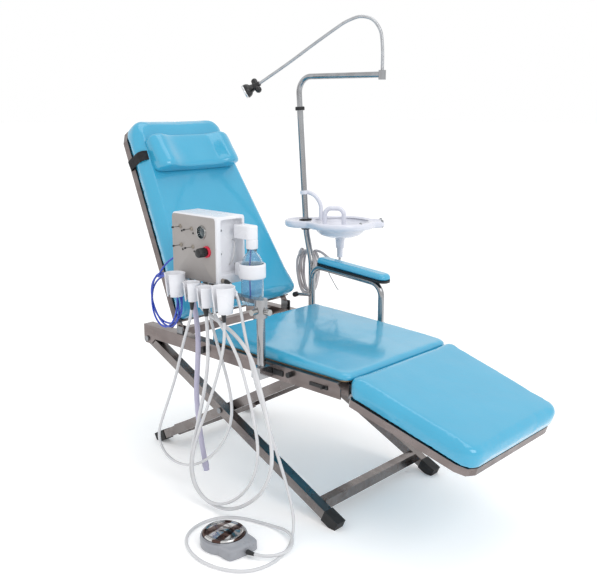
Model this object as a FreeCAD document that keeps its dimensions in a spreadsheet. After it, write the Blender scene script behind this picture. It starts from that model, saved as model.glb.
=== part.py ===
"""Portable folding dental chair: scissor-legged frame, cushions, delivery unit, cuspidor, lamp and pedal.

Lengths are in millimetres. Everything is laid out in the chair's own frame: x runs to the foot end,
y to the patient's left, z up, with the floor at z = 0 and the chair's centre plane at y = 0. The last
step moves every sub-part so that the origin is on the floor under the middle of the whole object.
"""
import FreeCAD, Part
import math
import os

Vec = FreeCAD.Vector
X_AXIS = Vec(1, 0, 0)
Y_AXIS = Vec(0, 1, 0)
Z_AXIS = Vec(0, 0, 1)
LEFT = 1
RIGHT = -1

SIZES = {
    # seat frame
    "rail_outer": 256, "rail_width": 38, "rail_wall": 3, "rail_top": 440, "rail_height": 44,
    "rail_rear": -368, "rail_front": 515, "gusset_length": 48, "gusset_drop": 20,
    "cross_tube_size": 26, "board_thickness": 10,
    # scissor legs: two pivots on each leg, square tube
    "leg_tube": 30, "leg_wall": 1.6, "leg_gap": 1, "pivot_x": -349, "pivot_z": 392,
    "scissor_x": 14, "scissor_z": 228, "outer_slope": 24.31, "inner_slope": 29.5,
    "outer_foot_reach": 494, "inner_foot_reach": 410, "inner_top_reach": 333,
    "bolt_radius": 5, "bolt_head_radius": 9, "bolt_head_height": 5, "slide_travel": 84,
    "track_thickness": 3, "slot_half": 6.5, "pin_gap": 0.2, "channel_wall": 2.5,
    # seat
    "seat_rear": -37, "seat_front": 526, "seat_width": 490, "seat_rear_z": 482, "seat_front_z": 456,
    # backrest, in its own plane
    "back_x": -127, "back_z": 514, "back_angle": 59.7, "back_length": 701, "back_low_width": 512,
    "back_top_width": 378, "back_cushion": 50, "back_board": 10, "back_frame": 25, "frame_bar": 26,
    "recline_x": -178, "recline_z": 452,
    # headrest
    "pillow_length": 350, "pillow_height": 130, "pillow_depth": 62, "pillow_low": 496,
    "strap_width": 34, "strap_thickness": 3,
    # footrest, in its own plane
    "foot_x": 542, "foot_z": 450, "foot_angle": 15.9, "foot_length": 386, "foot_rear_width": 490,
    "foot_front_width": 445, "foot_cushion": 40, "foot_board": 8, "foot_frame": 22,
    "foot_hinge_x": 528, "foot_hinge_z": 404, "foot_hinge_radius": 8,
    # armrest
    "arm_y": 270, "arm_tube_radius": 10.5, "arm_rear_x": -70, "arm_front_x": 241,
    "arm_rear_z": 609, "arm_front_z": 585, "arm_bend": 45, "arm_pad_length": 306, "arm_pad_width": 56,
    "arm_pad_base": 8, "arm_pad_soft": 21, "socket_radius": 14, "fit_gap": 0.05,
    # delivery unit
    "unit_pole_x": 240, "unit_pole_y": -285, "unit_pole_radius": 12.5, "unit_pole_top": 622,
    "unit_left": -112, "unit_length": 210, "unit_near": -320, "unit_depth": 108, "unit_low": 655,
    "unit_height": 200, "unit_wall": 3, "panel_thickness": 4,
    "bottle_x": 154, "bottle_y": -236, "bottle_radius": 33, "bottle_low": 597, "bottle_height": 166,
    "bottle_neck_radius": 14, "cap_radius": 18, "ring_low": 676, "ring_height": 42,
    "cup_y": -364, "cup_height": 46, "cup_radius": 25,
    # foot control
    "pedal_x": 322, "pedal_y": -511, "pedal_radius": 64, "pedal_height": 34, "pedal_turn": -4,
    "pedal_tail": 96, "pedal_width": 104,
    # lamp and cuspidor
    "origin_x": 179.6, "origin_y": -33.6,
    "pole_radius": 11, "pole_wall": 1.5, "arm_radius": 10, "arm_height": 1264, "arm_reach": 185,
    "gooseneck_radius": 5.5, "tray_z": 762, "tray_thickness": 20, "bowl_radius": 112,
}

# ---------------------------------------------------------------- fixed places

# toggle valves, gauge and regulator on the panel as (x, z); a panel hole adds its radius
TOGGLES = ((-68, 814), (-15, 812), (-66, 758), (-11, 758))
GAUGE = (31, 806)
REGULATOR = (54, 751)
PANEL_HOLES = [(x, z, 3.5) for x, z in TOGGLES] + [(GAUGE[0], GAUGE[1], 18), (REGULATOR[0], REGULATOR[1], 5)]

# instrument cups as (x, scale, height of the foot)
CUPS = ((-48, 1.25, 610), (30, 1.0, 608), (92, 1.05, 600), (170, 1.35, 596))

# hose ports under the housing as (x, y)
HOSE_PORTS = {
    "a_port": (36, -312), "b_port": (-34, -311), "c_port": (0, -312), "d_port": (66, -312),
}

# axis of the lamp pole, and the gooseneck as (distance along, height)
POLE_FOOT = Vec(-103, 300, 402)
POLE_BEND_LOW = Vec(-103, 300, 612)
POLE_KNEE = Vec(-147.885, 320, 715)
POLE_TOP = Vec(-180, 320, 1147)
GOOSENECK = ((0, 1340), (6, 1400), (34, 1438), (78, 1448), (128, 1431), (225, 1371), (330, 1302))
SPOUT_STAND_OFF = 14.6

# hand-chosen routes of the free hoses: radius, then the corners that the arcs round off
HOSES = {
    "handpiece_hose_1": (4.5, [
        (30, -364, 602), (25, -362, 570), (-2, -358, 518), (-35, -355, 450), (-70, -353, 355),
        (-108, -355, 270), (-140, -358, 200), (-166, -361, 135), (-150, -364, 88), (-95, -366, 62),
        (-20, -366, 66), (55, -365, 100), (120, -362, 155), (168, -358, 220), (188, -352, 295),
        (168, -346, 370), (130, -339, 440), (85, -328, 510), (50, -317, 570), (36, -312, 612),
        (36, -312, 636)]),
    "suction_hose": (8, [
        (-34, -311, 635), (-30, -312, 596), (-12, -316, 545), (6, -324, 480), (6, -330, 395),
        (0, -334, 310), (12, -338, 225), (30, -342, 150), (46, -344, 95)]),
    "handpiece_hose_2": (5.5, [
        (92, -364, 594), (95, -364, 556), (98, -364, 500), (98, -366, 430), (90, -374, 350),
        (75, -383, 270), (58, -391, 195), (46, -398, 130), (50, -404, 75), (80, -408, 35),
        (135, -411, 16), (200, -412, 18), (260, -412, 40), (320, -410, 80), (372, -406, 135),
        (398, -400, 205), (390, -393, 275), (360, -382, 345), (318, -368, 415), (262, -346, 485),
        (185, -332, 528), (115, -332, 552), (60, -330, 568), (24, -326, 580), (4, -315, 598),
        (0, -312, 618), (0, -312, 636)]),
    "syringe_hose": (4.5, [
        (170, -364, 590), (173, -364, 556), (172, -366, 505), (158, -369, 445), (135, -375, 370),
        (108, -384, 295), (78, -393, 215), (60, -401, 150), (60, -407, 95), (82, -413, 52),
        (130, -418, 26), (190, -420, 30), (250, -419, 60), (305, -415, 110), (342, -409, 175),
        (348, -402, 245), (322, -392, 320), (285, -380, 390), (240, -366, 460), (190, -358, 515),
        (138, -349, 552), (96, -337, 578), (74, -321, 598), (66, -312, 618), (66, -312, 636)]),
    "pedal_hose": (4.5, [
        (112.8, -303, 668), (138, -304, 663), (164, -308, 640), (186, -313, 600), (205, -319, 545),
        (232, -326, 478), (262, -331, 405),
        (300, -334, 325), (345, -338, 240), (385, -342, 165), (415, -346, 100), (435, -352, 45),
        (450, -374, 12), (476, -415, 6), (492, -468, 5), (494, -525, 5), (472, -574, 5),
        (424, -606, 5), (362, -620, 5), (300, -612, 5), (246, -586, 5), (210, -542, 5),
        (200, -486, 5), (214, -432, 5), (256, -394, 5), (312, -374, 5), (368, -364, 8),
        (420, -368, 18), (462, -386, 21), (488, -414, 17), (494, -450, 14), (478, -486, 13),
        (450, -508, 14), (420, -515.2, 15)]),
}

doc = FreeCAD.newDocument("dental_chair")
sheet = doc.addObject("Spreadsheet::Sheet", "sizes")
for row, (alias, number) in enumerate(SIZES.items(), start=1):
    sheet.set("A" + str(row), str(number))
    sheet.setAlias("A" + str(row), alias)
doc.recompute()

sub_parts = []


def size(alias):
    """Return one driving dimension from the sheet."""
    return float(sheet.get(alias))


def bind(item, **sizes_of):
    """Bind properties of an object to expressions over the sheet's aliases."""
    for prop, expression in sizes_of.items():
        item.setExpression(prop, expression)
    return item


def cell(text):
    """Turn 'rail_outer - rail_width' into an expression that names the sheet's cells."""
    words = text.split()
    return " ".join("sizes." + word if word in SIZES else word for word in words)


def finish(item, label):
    """Give a finished sub-part the label that names its file."""
    item.Label = label
    sub_parts.append(item)
    return item


def box(name, length, width, height, corner, turn=None):
    """Make a box whose three sizes are expressions, standing with one corner at a place."""
    item = doc.addObject("Part::Box", name)
    bind(item, Length=cell(length), Width=cell(width), Height=cell(height))
    item.Placement = FreeCAD.Placement(Vec(*corner), turn or FreeCAD.Rotation())
    return item


def rod(name, radius, start, end):
    """Make a round rod between two places; its radius is an expression."""
    start = Vec(*start)
    run = Vec(*end) - start
    item = doc.addObject("Part::Cylinder", name)
    bind(item, Radius=cell(radius))
    item.Height = run.Length
    item.Placement = FreeCAD.Placement(start, FreeCAD.Rotation(Z_AXIS, run))
    return item


def cone(name, low_radius, top_radius, start, end):
    """Make a tapered rod between two places."""
    start = Vec(*start)
    run = Vec(*end) - start
    item = doc.addObject("Part::Cone", name)
    bind(item, Radius1=cell(low_radius), Radius2=cell(top_radius))
    item.Height = run.Length
    item.Placement = FreeCAD.Placement(start, FreeCAD.Rotation(Z_AXIS, run))
    return item


def cut(name, base, tool):
    """Subtract one object from another and check that it really took something away."""
    item = doc.addObject("Part::Cut", name)
    item.Base = base
    item.Tool = tool
    doc.recompute()
    if item.Shape.Volume >= base.Shape.Volume - 1e-6:
        raise ValueError(name + ": the cut removes nothing")
    return item


def fuse(name, items):
    """Join objects that are one welded or moulded piece."""
    item = doc.addObject("Part::MultiFuse", name)
    item.Shapes = items
    return item


def group(name, items):
    """Keep separate solids together in one sub-part."""
    item = doc.addObject("Part::Compound", name)
    item.Links = items
    return item


def shape_part(name, shape):
    """Hold a shape that was made with Part's own functions."""
    item = doc.addObject("Part::Feature", name)
    item.Shape = shape
    return item


def rounded(name, base, edges, radius):
    """Round chosen edges of an object by one radius."""
    doc.recompute()
    item = doc.addObject("Part::Fillet", name)
    item.Base = base
    item.Edges = [(index, radius, radius) for index in edges(base.Shape)]
    return item


def edges_along(direction):
    """Return a chooser of the straight edges that run along a direction."""
    def choose(shape):
        found = []
        for index, edge in enumerate(shape.Edges, start=1):
            if len(edge.Vertexes) != 2:
                continue
            run = edge.Vertexes[1].Point - edge.Vertexes[0].Point
            if run.Length > 0 and abs(abs(run.normalize().dot(direction)) - 1) < 1e-6:
                found.append(index)
        return found
    return choose


def padded_outline(name, outline, depth, plane="XY_Plane", holes=()):
    """Pad a closed outline of points by a bound depth as a PartDesign body, with holes pocketed through.

    The outline lies in the body's own plane, and the pad grows along that plane's normal."""
    body = doc.addObject("PartDesign::Body", name)
    origin_plane = [item for item in body.Origin.OriginFeatures if item.Role == plane][0]

    def outline_sketch(title, points):
        sketch = body.newObject("Sketcher::SketchObject", name + title)
        sketch.AttachmentSupport = [(origin_plane, "")]
        sketch.MapMode = "FlatFace"
        for index, (x, y) in enumerate(points):
            next_x, next_y = points[(index + 1) % len(points)]
            sketch.addGeometry(Part.LineSegment(Vec(x, y, 0), Vec(next_x, next_y, 0)))
        return sketch

    pad = body.newObject("PartDesign::Pad", name + "_pad")
    pad.Profile = outline_sketch("_outline", outline)
    bind(pad, Length=cell(depth))
    doc.recompute()
    for number, hole in enumerate(holes):
        before = body.Shape.Volume
        pocket = body.newObject("PartDesign::Pocket", name + "_pocket" + str(number))
        pocket.Profile = outline_sketch("_hole" + str(number), hole)
        pocket.Type = "ThroughAll"
        pocket.Midplane = True
        doc.recompute()
        if body.Shape.Volume >= before - 1e-6:
            raise ValueError(name + ": a pocket removes nothing")
    return body


def arc_path(points, share=0.45, radius=None):
    """Join straight runs by tangent arcs: each arc is as large as the shorter of its two runs allows."""
    points = [Vec(*point) for point in points]
    edges = []
    radii = []
    here = points[0]
    for before, corner, after in zip(points, points[1:], points[2:]):
        back = (before - corner)
        ahead = (after - corner)
        shorter = min(back.Length, ahead.Length)
        back.normalize()
        ahead.normalize()
        turn = math.pi - math.acos(max(-1.0, min(1.0, back.dot(ahead))))
        bend = radius or share * shorter / math.tan(turn / 2)
        reach = bend * math.tan(turn / 2)
        start = corner + back * reach
        end = corner + ahead * reach
        inward = (back + ahead).normalize()
        middle = corner + inward * (bend / math.cos(turn / 2) - bend)
        edges.append(Part.LineSegment(here, start).toShape())
        edges.append(Part.Arc(start, middle, end).toShape())
        radii.append(bend)
        here = end
    edges.append(Part.LineSegment(here, points[-1]).toShape())
    return Part.Wire(edges), radii


def swept_tube(name, points, radius, inner=None, bend=None):
    """Sweep a round section along a path of runs and arcs, and check the volume against the length."""
    path, radii = arc_path(points, radius=bend)
    start = Vec(*points[0])
    along = Vec(*points[1]) - start

    def sweep(section_radius):
        section = Part.Wire([Part.Circle(start, along, section_radius).toShape()])
        return path.makePipeShell([section], True, True)

    solid = sweep(radius)
    area = math.pi * radius ** 2
    if inner:
        solid = solid.cut(sweep(inner))
        area -= math.pi * inner ** 2
    if abs(solid.Volume / (area * path.Length) - 1) > 0.01:
        raise ValueError(name + ": the swept volume is wrong")
    return shape_part(name, solid), path.Length, radii


def square_tube(name, start, end):
    """Make a leg's hollow square tube between two places in one plane of constant y."""
    start = Vec(*start)
    run = Vec(*end) - start
    slope = FreeCAD.Rotation(Y_AXIS, -math.degrees(math.atan2(run.z, run.x)))
    solids = []
    for part_name, width, across in (("_outer", "leg_tube", size("leg_tube")),
                                     ("_inner", "leg_tube - 2 * leg_wall",
                                      size("leg_tube") - 2 * size("leg_wall"))):
        item = doc.addObject("Part::Box", name + part_name)
        bind(item, Width=cell(width), Height=cell(width))
        item.Length = run.Length
        corner = start + slope.multVec(Vec(0, -across / 2, -across / 2))
        item.Placement = FreeCAD.Placement(corner, slope)
        solids.append(item)
    return cut(name, solids[0], solids[1])


def bolt(name, place, reach, side, head_radius="bolt_head_radius"):
    """Make a round-headed pivot bolt along y: the head outside, the shank reaching inwards."""
    x, y, z = place
    shank = rod(name + "_shank", "bolt_radius", place, (x, y - side * reach, z))
    head = rod(name + "_head", head_radius, place, (x, y + side * size("bolt_head_height"), z))
    return fuse(name, [shank, head])


def back_turn():
    """Rotation that lays x across the chair, y up the backrest and z out of its front face."""
    lean = math.radians(size("back_angle"))
    up = Vec(-math.cos(lean), 0, math.sin(lean))
    front = Vec(math.sin(lean), 0, math.cos(lean))
    return FreeCAD.Rotation(Vec(0, 1, 0), up, front, "ZXY")


def foot_turn():
    """Rotation that lays x across the chair, y down the footrest and z out of its top face."""
    drop = math.radians(size("foot_angle"))
    along = Vec(math.cos(drop), 0, -math.sin(drop))
    top = Vec(math.sin(drop), 0, math.cos(drop))
    return FreeCAD.Rotation(Vec(0, -1, 0), along, top, "ZXY")


def in_plane(origin, turn, point):
    """Carry a point of a tilted panel's own plane into the chair's frame."""
    return Vec(*origin) + turn.multVec(Vec(*point))


# ---------------------------------------------------------------- seat frame

def seat_rails():
    """Two folded channels, open below, with a deeper gusset round the leg's upper pivot."""
    rear = size("rail_rear")
    front = size("rail_front")
    top = size("rail_top")
    low = top - size("rail_height")
    gusset_end = rear + size("gusset_length")
    gusset_low = low - size("gusset_drop")
    outline = [(rear, gusset_low + 8), (rear + 8, gusset_low), (gusset_end - 10, gusset_low),
               (gusset_end + 12, low), (front, low), (front, top - 14), (front - 14, top), (rear, top)]
    for side, name in ((RIGHT, "seat_rail_right"), (LEFT, "seat_rail_left")):
        body = padded_outline(name + "_blank", outline, "rail_width", "XZ_Plane")
        outer = size("rail_outer")
        body.Placement.Base = Vec(0, outer if side == LEFT else -outer + size("rail_width"), 0)
        wall = size("rail_wall")
        inner_y = side * outer - side * wall
        inside = box(name + "_inside", "rail_front - rail_rear + 20", "rail_width - 2 * rail_wall",
                     "rail_height + gusset_drop - rail_wall",
                     (rear - 10, min(inner_y, inner_y - side * (size("rail_width") - 2 * wall)), gusset_low))
        channel = cut(name + "_channel", body, inside)
        pivot_hole = rod(name + "_pivot_hole", "bolt_radius + fit_gap",
                         (size("pivot_x"), side * 200, size("pivot_z")),
                         (size("pivot_x"), side * 300, size("pivot_z")))
        slot = box(name + "_slot", "slide_travel + 30", "6", "slot_half + 10",
                   (266, side * (outer - size("rail_width")) - 3 - side * 1.4, size("pivot_z") - 8))
        finish(cut(name, cut(name + "_drilled", channel, pivot_hole), slot), name)


def slide_tracks():
    """Plates welded inside the rails, with the slot that the inner legs' top pins run in."""
    plates = []
    start = size("scissor_x") + size("inner_top_reach") * math.cos(math.radians(size("inner_slope"))) - 16
    inner_face = size("rail_outer") - size("rail_width")
    for side, name in ((RIGHT, "track_right"), (LEFT, "track_left")):
        y = min(side * inner_face, side * (inner_face - size("track_thickness")))
        plate = box(name + "_plate", "slide_travel + 32", "track_thickness", "62", (start, y, 378))
        slot = box(name + "_slot", "slide_travel + 14", "10", "2 * slot_half",
                   (start + 9, y - 3, size("pivot_z") - size("slot_half")))
        plates.append(cut(name, plate, slot))
    finish(group("slide_tracks_group", plates), "slide_tracks")


def seat_cross_tubes():
    """Three square cross tubes between the rails."""
    span = size("rail_outer") - size("rail_width")
    tubes = []
    for number, x in enumerate((-250, 80, 455)):
        tube = box("cross_tube_" + str(number), "cross_tube_size", "2 * ( rail_outer - rail_width )",
                   "cross_tube_size", (x, -span, 411))
        bore = box("cross_bore_" + str(number), "cross_tube_size - 4", "2 * ( rail_outer - rail_width ) + 2",
                   "cross_tube_size - 4", (x + 2, -span - 1, 413))
        tubes.append(cut("cross_" + str(number), tube, bore))
    finish(group("cross_tubes", tubes), "seat_cross_tubes")


def seat_board_and_cushion():
    """Plywood on top of the rails, and the soft seat on it, higher at the back than at the front."""
    half = size("seat_width") / 2
    board = box("seat_board_box", "seat_front - seat_rear - 14", "seat_width - 14", "board_thickness",
                (size("seat_rear") + 7, -half + 7, size("rail_top")))
    finish(rounded("seat_board_rounded", board, edges_along(Z_AXIS), 18), "seat_board")
    low = size("rail_top") + size("board_thickness")
    side_view = [(size("seat_rear"), low), (size("seat_front"), low),
                 (size("seat_front"), size("seat_front_z")), (size("seat_front") - 60, 463),
                 (size("seat_rear") + 40, size("seat_rear_z")), (size("seat_rear"), size("seat_rear_z") - 6)]
    cushion = padded_outline("seat_cushion_pad", side_view, "seat_width", "XZ_Plane")
    cushion.Placement.Base = Vec(0, half, 0)
    finish(cushion, "seat_cushion")


def frame_sockets():
    """Clamp blocks and short sockets outside the rails for the armrest and for the two poles."""
    outer = size("rail_outer")
    items = []
    for number, x in enumerate((size("arm_rear_x"), size("arm_front_x"))):
        place = (x, size("arm_y"), 402)
        sleeve = rod("arm_socket_" + str(number), "socket_radius", place, (x, size("arm_y"), 456))
        bore = rod("arm_bore_" + str(number), "arm_tube_radius + fit_gap", (x, size("arm_y"), 408),
                   (x, size("arm_y"), 460))
        items.append(cut("arm_sleeve_" + str(number), sleeve, bore))
    poles = (("lamp", -103, 300, outer, 322, "pole_radius"),
             ("unit", size("unit_pole_x"), size("unit_pole_y"), -308, -outer, "unit_pole_radius"))
    for name, x, y, near, far, radius in poles:
        block = box(name + "_block", "36", str(far - near), "34", (x - 18, near, 402))
        bore = rod(name + "_block_bore", radius + " + fit_gap", (x, y, 390), (x, y, 450))
        items.append(cut(name + "_clamp_block", block, bore))
    finish(group("sockets", items), "frame_sockets")


FOOT_PLATE_OUTER = 209


def frame_bolts():
    """Pivot bolts of the legs, the backrest and the footrest, with the backrest's hinge ears."""
    items = []
    outer = size("rail_outer")
    hinge_x = size("foot_hinge_x")
    hinge_z = size("foot_hinge_z")
    for side, name in ((RIGHT, "right"), (LEFT, "left")):
        items.append(bolt("leg_pivot_" + name, (size("pivot_x"), side * outer, size("pivot_z")), 30, side))
        items.append(bolt("foot_pivot_" + name, (hinge_x, side * FOOT_PLATE_OUTER, hinge_z), 21, side,
                          "foot_hinge_radius"))
    finish(group("bolts", items), "pivot_bolts")
    ears = []
    for side, name in ((RIGHT, "right"), (LEFT, "left")):
        for number, inner_y in enumerate((232, 248)):
            ear = box("ear_" + name + str(number), "28", "4", "26",
                      (size("recline_x") - 14, min(side * inner_y, side * (inner_y + 4)), size("rail_top")))
            ears.append(ear)
        pin = rod("recline_pin_" + name, "bolt_radius", (size("recline_x"), side * 236, size("recline_z")),
                  (size("recline_x"), side * 248, size("recline_z")))
        ears.append(pin)
        # plate that carries the footrest's pivot, welded to the inner wall of the rail
        plate_y = min(side * (FOOT_PLATE_OUTER - 5), side * FOOT_PLATE_OUTER)
        plate = box("foot_plate_" + name, "25", "5", "56", (504, plate_y, 384))
        nose = rod("foot_nose_" + name, "foot_hinge_radius", (hinge_x, plate_y, hinge_z),
                   (hinge_x, plate_y + 5, hinge_z))
        spacer = box("foot_spacer_" + name, "11", "9", "30",
                     (504, min(side * FOOT_PLATE_OUTER, side * (FOOT_PLATE_OUTER + 9)), 400))
        bore = rod("foot_plate_bore_" + name, "bolt_radius + fit_gap", (hinge_x, plate_y - 1, hinge_z),
                   (hinge_x, plate_y + 6, hinge_z))
        ears.append(cut("foot_bracket_" + name, fuse("foot_bracket_blank_" + name, [plate, nose, spacer]),
                        bore))
    finish(group("ears", ears), "hinge_brackets")


def lock_latches():
    """Black latch plates on the near rail with their knobs, and the recline knob below the rail."""
    face = -size("rail_outer")
    plates = [box("latch_plate", "40", "3", "16", (260, face - 3, 410)),
              box("lock_bar", "66", "3", "10", (404, face - 3, 412)),
              rod("latch_knob", "8", (330, face, 424), (330, face - 14, 424)),
              rod("lock_pin", "4", (456, face - 3, 417), (456, face - 12, 417)),
              rod("clamp_bolt", "6", (190, face, 410), (190, face - 10, 410)),
              rod("recline_knob", "11", (-47, face, 417), (-47, face - 16, 417))]
    finish(group("latches", plates), "lock_latches")


# ---------------------------------------------------------------- scissor legs

def leg_line(slope_sign, slope, reach):
    """Return a place on a leg's centre line, so far from the scissor pivot."""
    angle = math.radians(slope)
    return (size("scissor_x") + reach * math.cos(angle),
            size("scissor_z") + slope_sign * reach * math.sin(angle))


def rubber_foot(name, side_y, start, slope, leg):
    """Wedge of rubber pushed over a leg's end, cut off level at the floor."""
    turn = FreeCAD.Rotation(Y_AXIS, slope)
    half = size("leg_tube") / 2 + 2.5
    item = box(name + "_block", "54", "leg_tube + 5", "leg_tube + 5", (0, 0, 0))
    offset = turn.multVec(Vec(-12, -half, -half))
    item.Placement = FreeCAD.Placement(Vec(start[0], side_y, start[1]) + offset, turn)
    floor = box(name + "_floor", "400", "200", "100", (start[0] - 200, side_y - 100, -100))
    return cut(name, cut(name + "_level", item, floor), leg)


def leg_frames():
    """Outer legs run from the rails' rear pivots to the front feet; inner legs from the slides backwards."""
    outer_y = size("rail_outer") - size("rail_wall") - size("leg_gap") - size("leg_tube") / 2
    inner_y = size("rail_outer") - size("rail_width") - size("track_thickness") - size("leg_gap") \
        - size("leg_tube") / 2
    outer_slope = size("outer_slope")
    inner_slope = size("inner_slope")
    pivot_reach = math.hypot(size("pivot_x") - size("scissor_x"), size("pivot_z") - size("scissor_z"))
    specs = (
        ("outer", outer_y, -1, outer_slope, -pivot_reach - 14, size("outer_foot_reach"),
         size("outer_foot_reach") - 46),
        ("inner", inner_y, 1, inner_slope, size("inner_top_reach") + 12, -size("inner_foot_reach"),
         -(size("inner_foot_reach") - 50)),
    )
    for name, y, sign, slope, top_reach, foot_reach, cross_reach in specs:
        tubes = []
        feet = []
        top = leg_line(sign, slope, top_reach)
        foot = leg_line(sign, slope, foot_reach)
        for side, side_name in ((RIGHT, "right"), (LEFT, "left")):
            ends = [(foot[0], side * y, foot[1]), (top[0], side * y, top[1])]
            ends.sort()
            tube = square_tube(name + "_tube_" + side_name, ends[0], ends[1])
            holes = []
            for number, reach in enumerate((0, -pivot_reach if name == "outer" else size("inner_top_reach"))):
                x, z = leg_line(sign, slope, reach)
                holes.append(rod(name + "_hole_" + side_name + str(number), "bolt_radius + pin_gap",
                                 (x, side * y - 20, z), (x, side * y + 20, z)))
            tubes.append(cut(name + "_leg_" + side_name, tube, fuse(name + "_holes_" + side_name, holes)))
            turn = slope if name == "outer" else 180 - slope
            blank = doc.getObject(name + "_tube_" + side_name + "_outer")
            feet.append(rubber_foot(name + "_foot_" + side_name, side * y, foot, turn, blank))
        x, z = leg_line(sign, slope, cross_reach)
        span = y - size("leg_tube") / 2
        cross = box(name + "_cross", "leg_tube", str(2 * span), "leg_tube",
                    (x - size("leg_tube") / 2, -span, z - size("leg_tube") / 2))
        bore = box(name + "_cross_bore", "leg_tube - 2 * leg_wall", str(2 * span + 2),
                   "leg_tube - 2 * leg_wall",
                   (x - size("leg_tube") / 2 + size("leg_wall"), -span - 1,
                    z - size("leg_tube") / 2 + size("leg_wall")))
        tubes.append(cut(name + "_crossbar", cross, bore))
        if name == "inner":
            x, z = leg_line(sign, slope, 150)
            tubes.append(rod("inner_stretcher", "10", (x, -span, z), (x, span, z)))
            x, z = leg_line(sign, slope, size("inner_top_reach"))
            for side in (RIGHT, LEFT):
                tubes.append(rod("slide_pin_" + str(side + 1), "bolt_radius", (x, side * (y - 13), z),
                                 (x, side * (size("rail_outer") - size("rail_width") - 0.5), z)))
        finish(group(name + "_frame", tubes), name + "_leg_frame")
        finish(group(name + "_feet_group", feet), name + "_feet")
    scissor = []
    for side, side_name in ((RIGHT, "right"), (LEFT, "left")):
        outside = side * (outer_y + size("leg_tube") / 2)
        scissor.append(bolt("scissor_bolt_" + side_name, (size("scissor_x"), outside, size("scissor_z")),
                            outer_y - inner_y + size("leg_tube") - 2, side))
    finish(group("scissor_bolt_group", scissor), "scissor_bolts")


# ---------------------------------------------------------------- backrest and headrest

def tapered_panel(name, low_width, top_width, length, inset, depth, bar=None):
    """Flat panel that tapers towards its top, with cut corners there, in its own plane.

    With a bar width it is a ring: its opening stays that far inside the full outline."""
    low = low_width / 2 - inset
    top = top_width / 2 - inset
    corner = 46
    outline = [(-low, inset), (low, inset), (top + 4, length - inset - corner),
               (top - 14, length - inset - 12),
               (top - corner, length - inset), (-top + corner, length - inset),
               (-top + 14, length - inset - 12), (-top - 4, length - inset - corner)]
    holes = []
    if bar:
        low = low_width / 2 - bar
        top = top_width / 2 - bar
        high = length - corner - bar + 16
        holes.append([(-low, bar), (low, bar), (top, high), (-top, high)])
    return padded_outline(name, outline, depth, "XY_Plane", holes)


def backrest():
    """Cushion, board and metal frame in layers; the frame's lugs reach down to the recline hinge."""
    turn = back_turn()
    origin = (size("back_x"), 0, size("back_z"))
    widths = (size("back_low_width"), size("back_top_width"), size("back_length"))
    board_depth = size("back_cushion") + size("back_board")
    frame_depth = board_depth + size("back_frame")
    cushion = tapered_panel("back_cushion_pad", *widths, 0, "back_cushion")
    cushion.Placement = FreeCAD.Placement(in_plane(origin, turn, (0, 0, -size("back_cushion"))), turn)
    finish(cushion, "back_cushion")
    board = tapered_panel("back_board_pad", *widths, 8, "back_board")
    board.Placement = FreeCAD.Placement(in_plane(origin, turn, (0, 0, -board_depth)), turn)
    finish(board, "back_board")
    wall = size("channel_wall")
    ring = tapered_panel("back_frame_pad", *widths, 0, "back_frame", size("frame_bar"))
    ring.Placement = FreeCAD.Placement(in_plane(origin, turn, (0, 0, -frame_depth)), turn)
    trough = tapered_panel("back_frame_trough", *widths, wall, "back_frame", size("frame_bar") - wall)
    trough.Placement = FreeCAD.Placement(in_plane(origin, turn, (0, 0, -frame_depth - wall)), turn)
    frame = cut("back_frame_channel", ring, trough)
    lugs = []
    hinge = Vec(size("recline_x"), 0, size("recline_z"))
    up = turn.multVec(Y_AXIS)
    for side, name in ((RIGHT, "right"), (LEFT, "left")):
        y = min(side * 238, side * 246)
        lug = box("lug_" + name, "8", "38", "20", (0, 0, 0))
        corner = hinge + turn.multVec(Vec(0, 0, -10))
        lug.Placement = FreeCAD.Placement(Vec(corner.x, y, corner.z), turn)
        eye = rod("lug_eye_" + name, "10", (hinge.x, y, hinge.z), (hinge.x, y + 8, hinge.z))
        lugs.extend([lug, eye])
    welded = fuse("back_frame_welded", [frame] + lugs)
    doc.recompute()
    bore = rod("lug_bore", "bolt_radius + fit_gap", (hinge.x, -300, hinge.z), (hinge.x, 300, hinge.z))
    finish(cut("back_frame_cut", welded, bore), "back_frame")


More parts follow.
